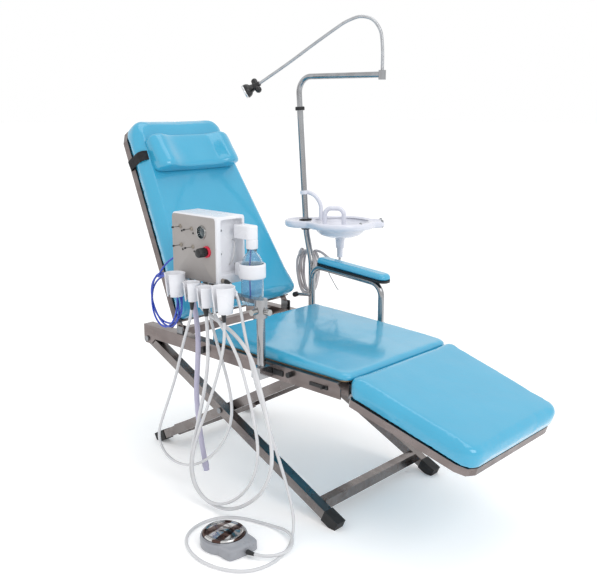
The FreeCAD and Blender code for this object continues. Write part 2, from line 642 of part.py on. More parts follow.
def headrest():
    """Pillow with a hollow middle, held by an elastic strap that runs round the backrest."""
    turn = back_turn()
    origin = (size("back_x"), 0, size("back_z"))
    low = size("pillow_low")
    half = size("pillow_length") / 2
    depth = size("pillow_depth")
    height = size("pillow_height")
    side_view = [(-half, 0), (half, 0), (half, depth * 0.8), (half - 18, depth), (half - 60, depth),
                 (50, depth - 14), (-50, depth - 14), (-half + 60, depth), (-half + 18, depth),
                 (-half, depth * 0.8)]
    pillow = padded_outline("pillow_pad", side_view, "pillow_height", "XZ_Plane")
    pillow.Placement = FreeCAD.Placement(in_plane(origin, turn, (0, low + height, 0.4)), turn)
    finish(pillow, "headrest_pillow")
    strap_low = low + 32
    taper = (size("back_low_width") - size("back_top_width")) / 2 / size("back_length")
    inside = size("back_low_width") / 2 - taper * strap_low + 1.5
    outside = inside + size("strap_thickness")
    back_depth = size("back_cushion") + size("back_board") + size("back_frame") + 1
    loop = box("strap_outer", str(2 * outside), "strap_width",
               str(back_depth + 0.3 + 2 * size("strap_thickness")), (0, 0, 0))
    loop.Placement = FreeCAD.Placement(
        in_plane(origin, turn, (-outside, strap_low, -back_depth - size("strap_thickness"))), turn)
    hollow = box("strap_inner", str(2 * inside), "strap_width + 2", str(back_depth + 0.3), (0, 0, 0))
    hollow.Placement = FreeCAD.Placement(in_plane(origin, turn, (-inside, strap_low - 1, -back_depth)), turn)
    band = cut("strap_band", loop, hollow)
    seat_of_pillow = box("strap_pillow_gap", str(2 * half + 2), "strap_width + 2", "20", (0, 0, 0))
    corner = in_plane(origin, turn, (-half - 1, strap_low - 1, -0.5))
    seat_of_pillow.Placement = FreeCAD.Placement(corner, turn)
    finish(cut("strap_cut", band, seat_of_pillow), "headrest_strap")


# ---------------------------------------------------------------- footrest

def footrest():
    """Cushion, board and metal frame in layers, hinged inside the front ends of the rails."""
    turn = foot_turn()
    origin = (size("foot_x"), 0, size("foot_z"))
    rear = size("foot_rear_width")
    front = size("foot_front_width")
    length = size("foot_length")
    board_depth = size("foot_cushion") + size("foot_board")
    frame_depth = board_depth + size("foot_frame")

    def outline(inset):
        low = rear / 2 - inset
        top = front / 2 - inset
        return [(-low, 14 + inset), (-low + 14, 2 + inset), (low - 14, 2 + inset), (low, 14 + inset),
                (top, length - inset - 40), (top - 12, length - inset - 12), (top - 40, length - inset),
                (-top + 40, length - inset), (-top + 12, length - inset - 12), (-top, length - inset - 40)]

    cushion = padded_outline("foot_cushion_pad", outline(0), "foot_cushion")
    cushion.Placement = FreeCAD.Placement(in_plane(origin, turn, (0, 0, -size("foot_cushion"))), turn)
    finish(cushion, "footrest_cushion")
    board = padded_outline("foot_board_pad", outline(8), "foot_board")
    board.Placement = FreeCAD.Placement(in_plane(origin, turn, (0, 0, -board_depth)), turn)
    finish(board, "footrest_board")

    def opening(bar):
        return [(-rear / 2 + bar, bar), (rear / 2 - bar, bar), (front / 2 - bar, length - bar - 26),
                (-front / 2 + bar, length - bar - 26)]

    wall = size("channel_wall")
    ring = padded_outline("foot_frame_pad", outline(0), "foot_frame", "XY_Plane",
                          [opening(size("frame_bar"))])
    ring.Placement = FreeCAD.Placement(in_plane(origin, turn, (0, 0, -frame_depth)), turn)
    trough = padded_outline("foot_frame_trough", outline(wall), "foot_frame", "XY_Plane",
                            [opening(size("frame_bar") - wall)])
    trough.Placement = FreeCAD.Placement(in_plane(origin, turn, (0, 0, -frame_depth - wall)), turn)
    frame = cut("foot_frame_channel", ring, trough)
    hinge = Vec(size("foot_hinge_x"), 0, size("foot_hinge_z"))
    lugs = []
    for side, name in ((RIGHT, "right"), (LEFT, "left")):
        y = min(side * 194, side * 202)
        lug = box("foot_lug_" + name, "8", "30", "17", (0, 0, 0))
        corner = hinge + turn.multVec(Vec(0, 0, -17.5))
        corner_y = y + 8
        lug.Placement = FreeCAD.Placement(Vec(corner.x, corner_y, corner.z), turn)
        eye = rod("foot_eye_" + name, "foot_hinge_radius", (hinge.x, y, hinge.z), (hinge.x, y + 8, hinge.z))
        lugs.extend([lug, eye])
    welded = fuse("foot_frame_welded", [frame] + lugs)
    bore = rod("foot_bore", "bolt_radius + fit_gap", (hinge.x, -300, hinge.z), (hinge.x, 300, hinge.z))
    notches = []
    for side, name in ((RIGHT, "right"), (LEFT, "left")):
        notches.append(box("foot_notch_" + name, "40", "18", "90", (500, min(side * 203, side * 221), 360)))
    trimmed = cut("foot_frame_notched", welded, fuse("foot_notches", notches))
    finish(cut("foot_frame_cut", trimmed, bore), "footrest_frame")


# ---------------------------------------------------------------- armrest

def armrest():
    """Bent tube that lifts out of two sockets, with a plywood base and a soft pad."""
    y = size("arm_y")
    rear = (size("arm_rear_x"), y)
    front = (size("arm_front_x"), y)
    tube, _, _ = swept_tube("arm_tube_sweep", [
        (*rear, 408.5), (*rear, size("arm_rear_z")), (*front, size("arm_front_z")), (*front, 408.5)],
        size("arm_tube_radius"), size("arm_tube_radius") - 1.5, size("arm_bend"))
    finish(tube, "armrest_tube")
    slope = math.degrees(math.atan2(size("arm_rear_z") - size("arm_front_z"),
                                    size("arm_front_x") - size("arm_rear_x")))
    turn = FreeCAD.Rotation(Y_AXIS, slope)
    half = size("arm_pad_width") / 2
    base_place = Vec(size("arm_rear_x") + 32, y - half, size("arm_rear_z") + size("arm_tube_radius") - 2.3)
    base = box("arm_base_box", "arm_pad_length", "arm_pad_width", "arm_pad_base", (0, 0, 0))
    base.Placement = FreeCAD.Placement(base_place, turn)
    finish(rounded("arm_base_round", base, edges_along(turn.multVec(Z_AXIS)), 24), "armrest_base")
    pad = box("arm_pad_box", "arm_pad_length", "arm_pad_width", "arm_pad_soft", (0, 0, 0))
    pad.Placement = FreeCAD.Placement(base_place + turn.multVec(Vec(0, 0, size("arm_pad_base"))), turn)
    finish(rounded("arm_pad_round", pad, edges_along(turn.multVec(Z_AXIS)), 24), "armrest_pad")


# ---------------------------------------------------------------- delivery unit

def unit_housing():
    """White moulded shell, open on the near side where the control panel closes it, and the panel."""
    corner = (size("unit_left"), size("unit_near") + size("panel_thickness"), size("unit_low"))
    outer = box("housing_outer", "unit_length", "unit_depth - panel_thickness", "unit_height", corner)
    soft = rounded("housing_rounded", outer, edges_along(Y_AXIS), 12)
    inner = box("housing_inner", "unit_length - 2 * unit_wall", "unit_depth - panel_thickness - unit_wall",
                "unit_height - 2 * unit_wall",
                (corner[0] + size("unit_wall"), corner[1], corner[2] + size("unit_wall")))
    finish(cut("housing_shell", soft, inner), "unit_housing")
    panel = box("panel_box", "unit_length", "panel_thickness", "unit_height",
                (corner[0], size("unit_near"), corner[2]))
    face = rounded("panel_rounded", panel, edges_along(Y_AXIS), 12)
    holes = []
    for number, (x, z, radius) in enumerate(PANEL_HOLES):
        holes.append(rod("panel_hole_" + str(number), str(radius), (x, size("unit_near") - 5, z),
                         (x, size("unit_near") + 10, z)))
    pieces = [cut("panel_drilled", face, fuse("panel_holes", holes))]
    near = size("unit_near")
    for number, (x, z) in enumerate(TOGGLES):
        nut = rod("toggle_nut_" + str(number), "6.5", (x, near, z), (x, near - 5, z))
        bore = rod("toggle_bore_" + str(number), "3.4", (x, near + 1, z), (x, near - 6, z))
        pieces.append(cut("toggle_bushing_" + str(number), nut, bore))
    finish(group("panel_group", pieces), "unit_panel")


def unit_controls():
    """Air manifold inside, four toggle levers, gauge with its needle, and the regulator's knob."""
    near = size("unit_near")
    back = near + size("panel_thickness")
    block = box("manifold_block", "150", "40", "46", (-85, back + 30, 668))
    ports = []
    for number, (x, z) in enumerate(TOGGLES):
        ports.append(rod("valve_body_" + str(number), "8", (x, back + 4, z), (x, back + 30, z)))
    regulator = rod("regulator_body", "18", (REGULATOR[0], back + 10, REGULATOR[1]),
                    (REGULATOR[0], back + 72, REGULATOR[1]))
    finish(group("manifold_group", [block, regulator] + ports), "air_manifold")
    for number, (x, z) in enumerate(TOGGLES):
        lever = cone("lever_" + str(number), "1.6", "2.4", (x, near - 1, z), (x, near - 32, z))
        ball = rod("lever_root_" + str(number), "2.2", (x, near - 1, z), (x, near + 3, z))
        pin = rod("lever_pin_" + str(number), "1", (x - 3, near - 1, z), (x + 3, near - 1, z))
        finish(fuse("toggle_" + str(number), [lever, ball, pin]), "toggle_lever_" + str(number + 1))
    gauge_x, gauge_z = GAUGE
    case = rod("gauge_case", "18", (gauge_x, back + 26, gauge_z), (gauge_x, near - 2, gauge_z))
    rim = rod("gauge_rim", "21", (gauge_x, near, gauge_z), (gauge_x, near - 6, gauge_z))
    well = rod("gauge_well", "17", (gauge_x, near + 2, gauge_z), (gauge_x, near - 8, gauge_z))
    stub = rod("gauge_arbor", "0.9", (gauge_x, near + 3, gauge_z), (gauge_x, near + 1, gauge_z))
    finish(fuse("gauge_with_arbor", [cut("gauge_cup", fuse("gauge_body", [case, rim]), well), stub]),
           "pressure_gauge")
    needle = box("needle_bar", "2", "0.8", "17", (gauge_x - 1, near - 0.8, gauge_z - 3))
    hub = rod("needle_hub", "2.4", (gauge_x, near + 0.8, gauge_z), (gauge_x, near - 1.2, gauge_z))
    finish(fuse("needle", [needle, hub]), "gauge_needle")
    knob_x, knob_z = REGULATOR
    skirt = rod("knob_skirt", "17", (knob_x, near - 1, knob_z), (knob_x, near - 9, knob_z))
    grip = cone("knob_grip", "14", "12", (knob_x, near - 9, knob_z), (knob_x, near - 40, knob_z))
    stem = rod("knob_stem", "4.5", (knob_x, near - 1, knob_z), (knob_x, back + 9.5, knob_z))
    finish(fuse("knob", [skirt, grip, stem]), "regulator_knob")


def unit_mounting():
    """Pole in its clamp block, and the bracket that carries the housing, the bottle and the holders."""
    x = size("unit_pole_x")
    y = size("unit_pole_y")
    pole = rod("unit_pole_outer", "unit_pole_radius", (x, y, 402), (x, y, size("unit_pole_top")))
    bore = rod("unit_pole_inner", "unit_pole_radius - 1.5", (x, y, 400), (x, y, size("unit_pole_top") - 4))
    finish(cut("unit_pole_tube", pole, bore), "unit_pole")
    collar = rod("bracket_collar", "19", (x, y, 580), (x, y, 634))
    arm = box("bracket_arm", "232", "24", "12", (0, y - 12, 620))
    plate = box("bracket_plate", "150", "58", "5", (-70, y + 13, 650))
    riser = box("bracket_riser", "40", "40", "30", (0, y - 12, 620))
    clear = rod("bracket_bore", "unit_pole_radius + fit_gap", (x, y, 570),
                (x, y, size("unit_pole_top") + 0.4))
    bracket = cut("bracket_cut", fuse("bracket", [collar, arm, plate, riser]), clear)
    finish(bracket, "unit_bracket")
    knobs = []
    for number, (knob_x, knob_y) in enumerate(((x, y - 19), (x + 19, y))):
        out = (0, -1) if number == 0 else (1, 0)
        knobs.append(rod("clamp_knob_" + str(number), "9", (knob_x, knob_y, 600),
                         (knob_x + 18 * out[0], knob_y + 18 * out[1], 600)))
    finish(group("knobs", knobs), "clamp_knobs")


def water_bottle():
    """Clear bottle that screws into a cap on the housing, steadied by a ring."""
    x = size("bottle_x")
    y = size("bottle_y")
    low = size("bottle_low")
    radius = size("bottle_radius")
    neck = size("bottle_neck_radius")
    top = low + size("bottle_height")
    wall = 1.6

    def side_view(inset, base):
        return [Vec(0, 0, base), Vec(radius - 8, 0, base), Vec(radius - inset, 0, base + 8),
                Vec(radius - inset, 0, top - 58), Vec(neck - inset, 0, top - 16), Vec(neck - inset, 0, top),
                Vec(0, 0, top)]

    outer = Part.Face(Part.makePolygon(side_view(0, low) + [Vec(0, 0, low)])).revolve(Vec(), Z_AXIS, 360)
    inner = Part.Face(Part.makePolygon(side_view(wall, low + 2) + [Vec(0, 0, low + 2)])).revolve(
        Vec(), Z_AXIS, 360)
    bottle = shape_part("bottle_shape", outer.cut(inner))
    bottle.Placement.Base = Vec(x, y, 0)
    finish(bottle, "water_bottle")
    cap = rod("cap_round", "cap_radius", (x, y, top), (x, y, 832))
    block_start = size("unit_left") + size("unit_length")
    block = box("cap_block", str(x - block_start), "40", "40", (block_start, y - 20, 790))
    tube = rod("dip_tube", "3", (x, y, top), (x, y, low + 12))
    finish(group("cap_group", [fuse("cap", [cap, block]), tube]), "bottle_cap")
    ring_low = size("ring_low")
    ring = rod("ring_outer", str(radius + 7), (x, y, ring_low), (x, y, ring_low + size("ring_height")))
    stay = box("ring_stay", str(x - block_start - radius), "34", "ring_height",
               (block_start, y - 17, ring_low))
    hollow = rod("ring_inner", str(radius + 2), (x, y, ring_low - 5), (x, y, ring_low + 50))
    finish(cut("ring_cut", fuse("ring", [ring, stay]), hollow), "bottle_ring")


def instrument_holders():
    """Bar under the unit's near edge with four tapered cups, each open at the side for the hose."""
    y = size("cup_y")
    bar = box("holder_bar_box", "256", "6", "14", (-70, -330, 640))
    hook = box("holder_hook", "40", "36", "5", (-92, -330, 650))
    finish(fuse("holder_rail", [bar, hook]), "holder_bar")
    cups = []
    for number, (x, scale, low) in enumerate(CUPS):
        radius = size("cup_radius") * scale
        height = size("cup_height") * scale
        place = (x, y, low)
        body = cone("cup_body_" + str(number), str(radius * 0.8), str(radius), place, (x, y, low + height))
        web = box("cup_web_" + str(number), "16", "28", "12", (x - 8, -358, 641))
        bore = cone("cup_bore_" + str(number), str(radius * 0.8 - 4), str(radius - 4),
                    (x, y, low - 0.1), (x, y, low + height + 0.1))
        slot = box("cup_slot_" + str(number), "11", "60", str(height + 40), (x - 5.5, y - 66, low - 10))
        wide = cut("cup_hollow_" + str(number), fuse("cup_blank_" + str(number), [body, web]), bore)
        cups.append(cut("cup_" + str(number), wide, slot))
    finish(group("cup_group", cups), "holder_cups")


def hose_fittings():
    """Brass-coloured ends: ports under the housing and couplings hanging in the cups."""
    items = []
    for name, (x, y) in HOSE_PORTS.items():
        items.append(rod(name, "7", (x, y, size("unit_low")), (x, y, 636)))
    items.append(rod("e_port", "7", (98, -303, 668), (112, -303, 668)))
    for number, (x, scale, low) in enumerate(CUPS[1:]):
        items.append(rod("coupling_" + str(number), "6", (x, size("cup_y"), low - 5),
                         (x, size("cup_y"), low + 50 * scale)))
    finish(group("fittings", items), "hose_fittings")


# ---------------------------------------------------------------- foot control

def foot_control():
    """Low housing with a round pedal plate that presses down, and a tail where the hose comes in."""
    x = size("pedal_x")
    y = size("pedal_y")
    turn = FreeCAD.Rotation(Z_AXIS, size("pedal_turn"))
    drum = cone("pedal_drum", "pedal_radius + 4", "pedal_radius", (x, y, 0), (x, y, size("pedal_height")))
    tail = box("pedal_tail_box", "pedal_tail", "pedal_width", "pedal_height - 4", (0, 0, 0))
    tail.Placement = FreeCAD.Placement(Vec(x, y, 0) + turn.multVec(Vec(0, -size("pedal_width") / 2, 0)), turn)
    tail_round = rounded("pedal_tail_round", tail, edges_along(Z_AXIS), 16)
    base = fuse("pedal_body", [drum, tail_round])
    well = rod("pedal_well", "pedal_radius - 4", (x, y, size("pedal_height") - 10),
               (x, y, size("pedal_height") + 10))
    finish(cut("pedal_base_cut", base, well), "pedal_base")
    dome = doc.addObject("Part::Sphere", "pedal_dome")
    dome.Radius = 230
    dome.Placement.Base = Vec(x, y, size("pedal_height") + 10 - 230)
    drum_cut = rod("pedal_disc_blank", "pedal_radius - 5", (x, y, size("pedal_height") - 5),
                   (x, y, size("pedal_height") + 14))
    disc = doc.addObject("Part::Common", "pedal_disc_shape")
    disc.Base = dome
    disc.Tool = drum_cut
    finish(disc, "pedal_disc")


# ---------------------------------------------------------------- lamp and cuspidor


def lamp():
    """Pole, swivelling arm with its end fitting, gooseneck and the small reflector lamp."""
    pole, _, _ = swept_tube("lamp_pole_sweep", [tuple(POLE_FOOT), tuple(POLE_BEND_LOW), tuple(POLE_KNEE),
                                                tuple(POLE_TOP)],
                            size("pole_radius"), size("pole_radius") - size("pole_wall"), 90)
    up = (POLE_TOP - POLE_KNEE).normalize()
    finish(pole, "lamp_pole")
    collar_low = POLE_TOP + up * 0.5
    elbow = POLE_TOP + up * ((size("arm_height") - POLE_TOP.z) / up.z)
    arm_end = Vec(size("arm_reach"), elbow.y, size("arm_height"))
    arm, _, _ = swept_tube("lamp_arm_sweep", [tuple(collar_low + up * 12), tuple(elbow), tuple(arm_end)],
                           size("arm_radius"), size("arm_radius") - 1.5, 55)
    collar = rod("arm_collar", "pole_radius + 4", tuple(collar_low), tuple(collar_low + up * 14))
    spigot = rod("arm_spigot", "pole_radius - pole_wall - fit_gap", tuple(collar_low - up * 60),
                 tuple(collar_low + up * 2))
    fitting = rod("arm_fitting", "12", (arm_end.x, arm_end.y, size("arm_height") - 16),
                  (arm_end.x, arm_end.y, size("arm_height") + 14))
    finish(fuse("lamp_arm_fuse", [arm, collar, spigot, fitting]), "lamp_arm")
    start = Vec(arm_end.x, arm_end.y, size("arm_height") + 14.3)
    head = Vec(-216, 157, 1240)
    across = Vec(head.x - start.x, head.y - start.y, 0).normalize()
    neck_points = [start]
    for ahead, height in GOOSENECK:
        neck_points.append(Vec(start.x, start.y, height) + across * ahead)
    neck_points.append(head)
    neck, _, _ = swept_tube("gooseneck_sweep", [tuple(point) for point in neck_points],
                            size("gooseneck_radius"))
    finish(neck, "lamp_gooseneck")
    drop = (head - neck_points[-2]).normalize()
    joint = head + drop * 14
    lamp_axis = Vec(-0.62, -0.62, -0.48).normalize()
    ball = doc.addObject("Part::Sphere", "lamp_knuckle")
    ball.Radius = 13.5
    ball.Placement.Base = joint
    shade = cone("lamp_shade", "12", "24", tuple(joint + lamp_axis * 12), tuple(joint + lamp_axis * 46))
    hollow = cone("lamp_hollow", "9", "22", tuple(joint + lamp_axis * 22), tuple(joint + lamp_axis * 46.5))
    neck_rod = rod("lamp_neck", "8", tuple(joint), tuple(joint + lamp_axis * 16))
    side_axis = lamp_axis.cross(Z_AXIS).normalize()
    knob = rod("lamp_knob", "7", tuple(joint - side_axis * 20), tuple(joint + side_axis * 20))
    finish(cut("lamp_head_cut", fuse("lamp_head_body", [ball, shade, neck_rod, knob]), hollow), "lamp_head")


def pole_place(height):
    """Place on the pole's axis at a height above the knee."""
    up = (POLE_TOP - POLE_KNEE).normalize()
    return POLE_KNEE + up * ((height - POLE_KNEE.z) / up.z)


def cuspidor():
    """Spittoon: a tray with an ear round the pole, a bowl with a drain, and two water spouts."""
    centre = Vec(-33, 376, 0)
    top = size("tray_z")
    thickness = size("tray_thickness")
    radius = size("bowl_radius")
    here = pole_place(top)
    rim = rod("tray_rim", "bowl_radius + 14", (centre.x, centre.y, top - thickness),
              (centre.x, centre.y, top))
    ear_centre = Vec(here.x + 12, here.y - 14, 0)
    ear = rod("tray_ear", "58", (ear_centre.x, ear_centre.y, top - thickness),
              (ear_centre.x, ear_centre.y, top))
    tail = box("tray_tail", "54", "70", "tray_thickness - 4", (0, 0, 0))
    outward = FreeCAD.Rotation(Z_AXIS, 43.7)
    tail.Placement = FreeCAD.Placement(Vec(centre.x, centre.y, top - thickness + 2)
                                       + outward.multVec(Vec(106, -35, 0)), outward)
    funnel = cone("bowl_funnel", "22", "bowl_radius", (centre.x, centre.y, top - 78),
                  (centre.x, centre.y, top - thickness))
    drain = rod("drain_neck", "15", (centre.x, centre.y, top - 100), (centre.x, centre.y, top - 70))
    body = fuse("tray_body", [rim, ear, tail, funnel, drain])
    basin = cone("basin", "16", "bowl_radius - 4", (centre.x, centre.y, top - 72),
                 (centre.x, centre.y, top + 0.2))
    throat = rod("throat", "8", (centre.x, centre.y, top - 110), (centre.x, centre.y, top - 60))
    up = (POLE_TOP - POLE_KNEE).normalize()
    hole = rod("pole_hole", "pole_radius + fit_gap", tuple(here - up * 60), tuple(here + up * 40))
    spigot = rod("spigot", "11", (centre.x, centre.y, top - 100), (centre.x, centre.y, top - 134))
    tray = cut("tray_cut", body, fuse("tray_voids", [basin, throat, hole]))
    finish(group("tray_group", [tray, spigot]), "cuspidor_tray")
    right = Vec(math.cos(math.radians(43.7)), math.sin(math.radians(43.7)), 0)
    foot = Vec(here.x, here.y, top) + right * 55 + Vec(10, -10, 0)
    clip = pole_place(857)
    rinse, _, _ = swept_tube("rinse_spout", [
        tuple(foot), tuple(foot + Vec(0, 0, 56)), tuple(foot + Vec(0, 0, 88) - right * 22),
        tuple(Vec(clip.x, clip.y, 859) + (foot - Vec(here.x, here.y, top)).normalize() * SPOUT_STAND_OFF)], 7.5)
    arch_foot = Vec(centre.x, centre.y, 0) - right * 54 + Vec(-18, 18, 0)
    arch_foot.z = top - 20
    arch_end = Vec(centre.x, centre.y, top - 24) + right * 14 + Vec(-12, 12, 0)
    arch, _, _ = swept_tube("cup_spout", [
        tuple(arch_foot), tuple(arch_foot + Vec(0, 0, 61)), (arch_end.x, arch_end.y, top + 41),
        tuple(arch_end)], 8.5, None, 24)
    finish(group("spout_group", [rinse, arch]), "water_spouts")


# ---------------------------------------------------------------- hoses


def hoses():
    """Free hoses along hand-chosen routes."""
    for name, (radius, route) in HOSES.items():
        tube, length, radii = swept_tube(name + "_tube", route, radius)
        finish(tube, name)
        print(name, "length", round(length), "radii", [round(value) for value in radii])


def coil(name, centre, across, up, along, half_width, half_height, turns, hose_radius):
    """Closed outer shape of a hank of hose: an oval ring as deep as its turns lie side by side."""
    depth = turns * hose_radius * 2
    ring = doc.addObject("Part::Cylinder", name + "_outer")
    ring.Radius = half_width
    ring.Height = depth
    bore = doc.addObject("Part::Cylinder", name + "_inner")
    bore.Radius = half_width - 4 * hose_radius
    bore.Height = depth + 2
    bore.Placement.Base = Vec(0, 0, -1)
    flat_ring = cut(name + "_ring", ring, bore)
    stretch = FreeCAD.Matrix()
    stretch.A22 = half_height / half_width
    solid = flat_ring.Shape.transformGeometry(stretch)
    item = shape_part(name + "_shape", solid)
    turn = FreeCAD.Rotation(across, up, along, "ZXY")
    item.Placement = FreeCAD.Placement(centre - along * (depth / 2), turn)
    finish(item, name)


def hanks():
    """Blue air supply hose and the cuspidor's drain hose, each put up in a hank."""
    coil("air_hose_hank", Vec(-196, -290, 560), X_AXIS, Z_AXIS, Vec(0, -1, 0), 84, 92, 4, 3)
    coil("drain_hose_hank", Vec(-165, 352, 560), X_AXIS, Z_AXIS, Vec(0, -1, 0), 62, 92, 2, 6)


# ---------------------------------------------------------------- the whole chair

def check_document():
    """Stop if any object of the document failed or any sub-part has no valid shape."""
    doc.recompute()
    for item in doc.Objects:
        if "Invalid" in item.State or "Error" in item.State:
            raise ValueError(item.Name + " did not recompute: " + str(item.State))
    for item in sub_parts:
        if item.Shape.isNull() or not item.Shape.isValid():
            raise ValueError(item.Label + " has no valid shape")


def move_to_origin():
    """Put the origin on the floor under the middle of the object, hoses left out."""
    solid_box = FreeCAD.BoundBox()
    for item in sub_parts:
        if item.Label not in HOSES and "hank" not in item.Label:
            solid_box.add(item.Shape.BoundBox)
    print("box", solid_box)
    shift = Vec(-size("origin_x"), -size("origin_y"), 0)
    for item in sub_parts:
        item.Placement.Base = item.Placement.Base + shift


def main():
    """Build every sub-part, check the document and write one STEP file for each."""
    for build in (seat_rails, slide_tracks, seat_cross_tubes, seat_board_and_cushion, frame_sockets,
                  frame_bolts, lock_latches, leg_frames, backrest, headrest, footrest, armrest,
                  unit_housing, unit_controls, unit_mounting, water_bottle, instrument_holders,
                  hose_fittings, foot_control, lamp, cuspidor, hoses, hanks):
        build()
    check_document()
    move_to_origin()
    check_document()
    os.makedirs("parts", exist_ok=True)
    for item in sub_parts:
        item.Shape.exportStep("parts/" + item.Label + ".step")
    print(len(sub_parts), "sub-parts written")


main()
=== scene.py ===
"""Folding dental chair: soft goods, hoses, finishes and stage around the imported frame, as an add-on."""
import math

import bmesh
import bpy
import numpy as np
from bpy.props import FloatProperty, PointerProperty, StringProperty
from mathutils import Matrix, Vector


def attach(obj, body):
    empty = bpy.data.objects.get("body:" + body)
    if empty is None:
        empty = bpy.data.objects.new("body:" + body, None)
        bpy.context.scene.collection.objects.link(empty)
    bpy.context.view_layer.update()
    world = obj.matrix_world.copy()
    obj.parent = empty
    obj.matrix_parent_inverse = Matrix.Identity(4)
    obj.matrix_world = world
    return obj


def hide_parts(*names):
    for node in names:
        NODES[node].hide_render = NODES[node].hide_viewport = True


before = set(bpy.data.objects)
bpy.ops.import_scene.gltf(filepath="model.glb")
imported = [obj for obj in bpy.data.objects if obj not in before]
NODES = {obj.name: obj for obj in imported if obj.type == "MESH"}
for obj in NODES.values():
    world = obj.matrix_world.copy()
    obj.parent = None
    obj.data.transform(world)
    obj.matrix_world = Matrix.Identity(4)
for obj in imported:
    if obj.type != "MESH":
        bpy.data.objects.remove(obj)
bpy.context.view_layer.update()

bl_info = {
    "name": "Folding dental chair",
    "version": (1, 0, 0),
    "blender": (4, 5, 0),
    "location": "3D View > Sidebar > Dental Chair",
    "description": "Builds the soft goods, hoses, fittings and finishes of a folding dental chair",
    "category": "Object",
}

MM = 0.001
# where the chair's own frame (floor, centre plane, seat) stands in the row frame, in millimetres
CHAIR_ORIGIN = np.array([-179.6, 33.6, 0.0])


def place(*point):
    """Carry a place from the chair's own frame in millimetres into the row frame in metres."""
    return (np.array(point, dtype=float) + CHAIR_ORIGIN) * MM


UP = (0, 0, 1)
NEAR = (0, -1, 0)
# along the lamp pole above its knee, which leans towards the head end
POLE_AXIS = (-0.0741, 0, 0.9972)

# ---------------------------------------------------------------- sizes and colours

class UpholsterySettings(bpy.types.PropertyGroup):
    """Cushion shapes and vinyl colour."""

    vinyl: StringProperty(name="Vinyl", description="Vinyl colour, sRGB hex", default="#3CA5C9")
    back_angle: FloatProperty(name="Back angle", description="Backrest from the horizontal",
                              default=math.radians(59.7), subtype="ANGLE")
    foot_angle: FloatProperty(name="Footrest angle", description="Footrest below the horizontal",
                              default=math.radians(15.9), subtype="ANGLE")
    shoulder: FloatProperty(name="Shoulder", description="Radius of a cushion's rounded upper edge",
                            default=0.022, unit="LENGTH")


class StageSettings(bpy.types.PropertyGroup):
    """Camera and light."""

    azimuth: FloatProperty(name="Azimuth", description="Camera direction round the chair",
                           default=math.radians(43.7), subtype="ANGLE")
    elevation: FloatProperty(name="Elevation", description="Camera height angle",
                             default=math.radians(12.9), subtype="ANGLE")
    distance: FloatProperty(name="Distance", description="Camera distance from its target",
                            default=2.5909, unit="LENGTH")
    lens: FloatProperty(name="Lens", description="Focal length in millimetres", default=48.83)
    floor: StringProperty(name="Floor", description="Floor colour, sRGB hex", default="#FFFFFF")


# ---------------------------------------------------------------- finishes

def linear(hex_colour):
    """Turn an sRGB hex colour into linear red, green, blue and alpha."""
    channels = [int(hex_colour[start:start + 2], 16) / 255 for start in (1, 3, 5)]
    return tuple(c / 12.92 if c <= 0.04045 else ((c + 0.055) / 1.055) ** 2.4 for c in channels) + (1.0,)


def add(tree, kind, links=None, **settings):
    """Add a node with its settings, and link its inputs: links maps an input to (node, output)."""
    node = tree.nodes.new(kind)
    for key, value in settings.items():
        if key.startswith("in_"):
            node.inputs[key[3:].replace("_", " ")].default_value = value
        else:
            setattr(node, key, value)
    for socket, (source, output) in (links or {}).items():
        tree.links.new(source.outputs[output], node.inputs[socket])
    return node


def mixed(tree, factor, first, second):
    """Mix two colours; each is a hex colour or a linked (node, output)."""
    mix = add(tree, "ShaderNodeMix", {"Factor": factor}, data_type="RGBA")
    for socket, colour in ((6, first), (7, second)):
        if isinstance(colour, str):
            mix.inputs[socket].default_value = linear(colour)
        else:
            tree.links.new(colour[0].outputs[colour[1]], mix.inputs[socket])
    return mix


def surface(name, light, dark, patch, grain, depth, rough=(0.3, 0.4), **shader):
    """Base of every finish: two tones in soft patches, a fine grain that bumps, and uneven gloss.

    patch and grain are the real sizes of the patches and of the grain in metres, depth the grain's relief."""
    material = bpy.data.materials.new(name)
    material.use_nodes = True
    tree = material.node_tree
    bsdf = tree.nodes["Principled BSDF"]
    for socket, value in shader.items():
        bsdf.inputs[socket.replace("_", " ")].default_value = value
    coords = add(tree, "ShaderNodeTexCoord")
    patches = add(tree, "ShaderNodeTexNoise", {"Vector": (coords, "Object")}, in_Scale=1 / patch,
                  in_Detail=2.0)
    tones = mixed(tree, (patches, "Fac"), light, dark)
    tree.links.new(tones.outputs[2], bsdf.inputs["Base Color"])
    fine = add(tree, "ShaderNodeTexNoise", {"Vector": (coords, "Object")}, in_Scale=1 / grain, in_Detail=2.0)
    gloss = add(tree, "ShaderNodeMapRange", {"Value": (patches, "Fac")})
    for socket, value in (("From Min", 0.3), ("From Max", 0.7), ("To Min", rough[0]), ("To Max", rough[1])):
        gloss.inputs[socket].default_value = value
    tree.links.new(gloss.outputs["Result"], bsdf.inputs["Roughness"])
    bump = add(tree, "ShaderNodeBump", {"Height": (fine, "Fac")}, in_Strength=1.0, in_Distance=depth)
    tree.links.new(bump.outputs["Normal"], bsdf.inputs["Normal"])
    return material


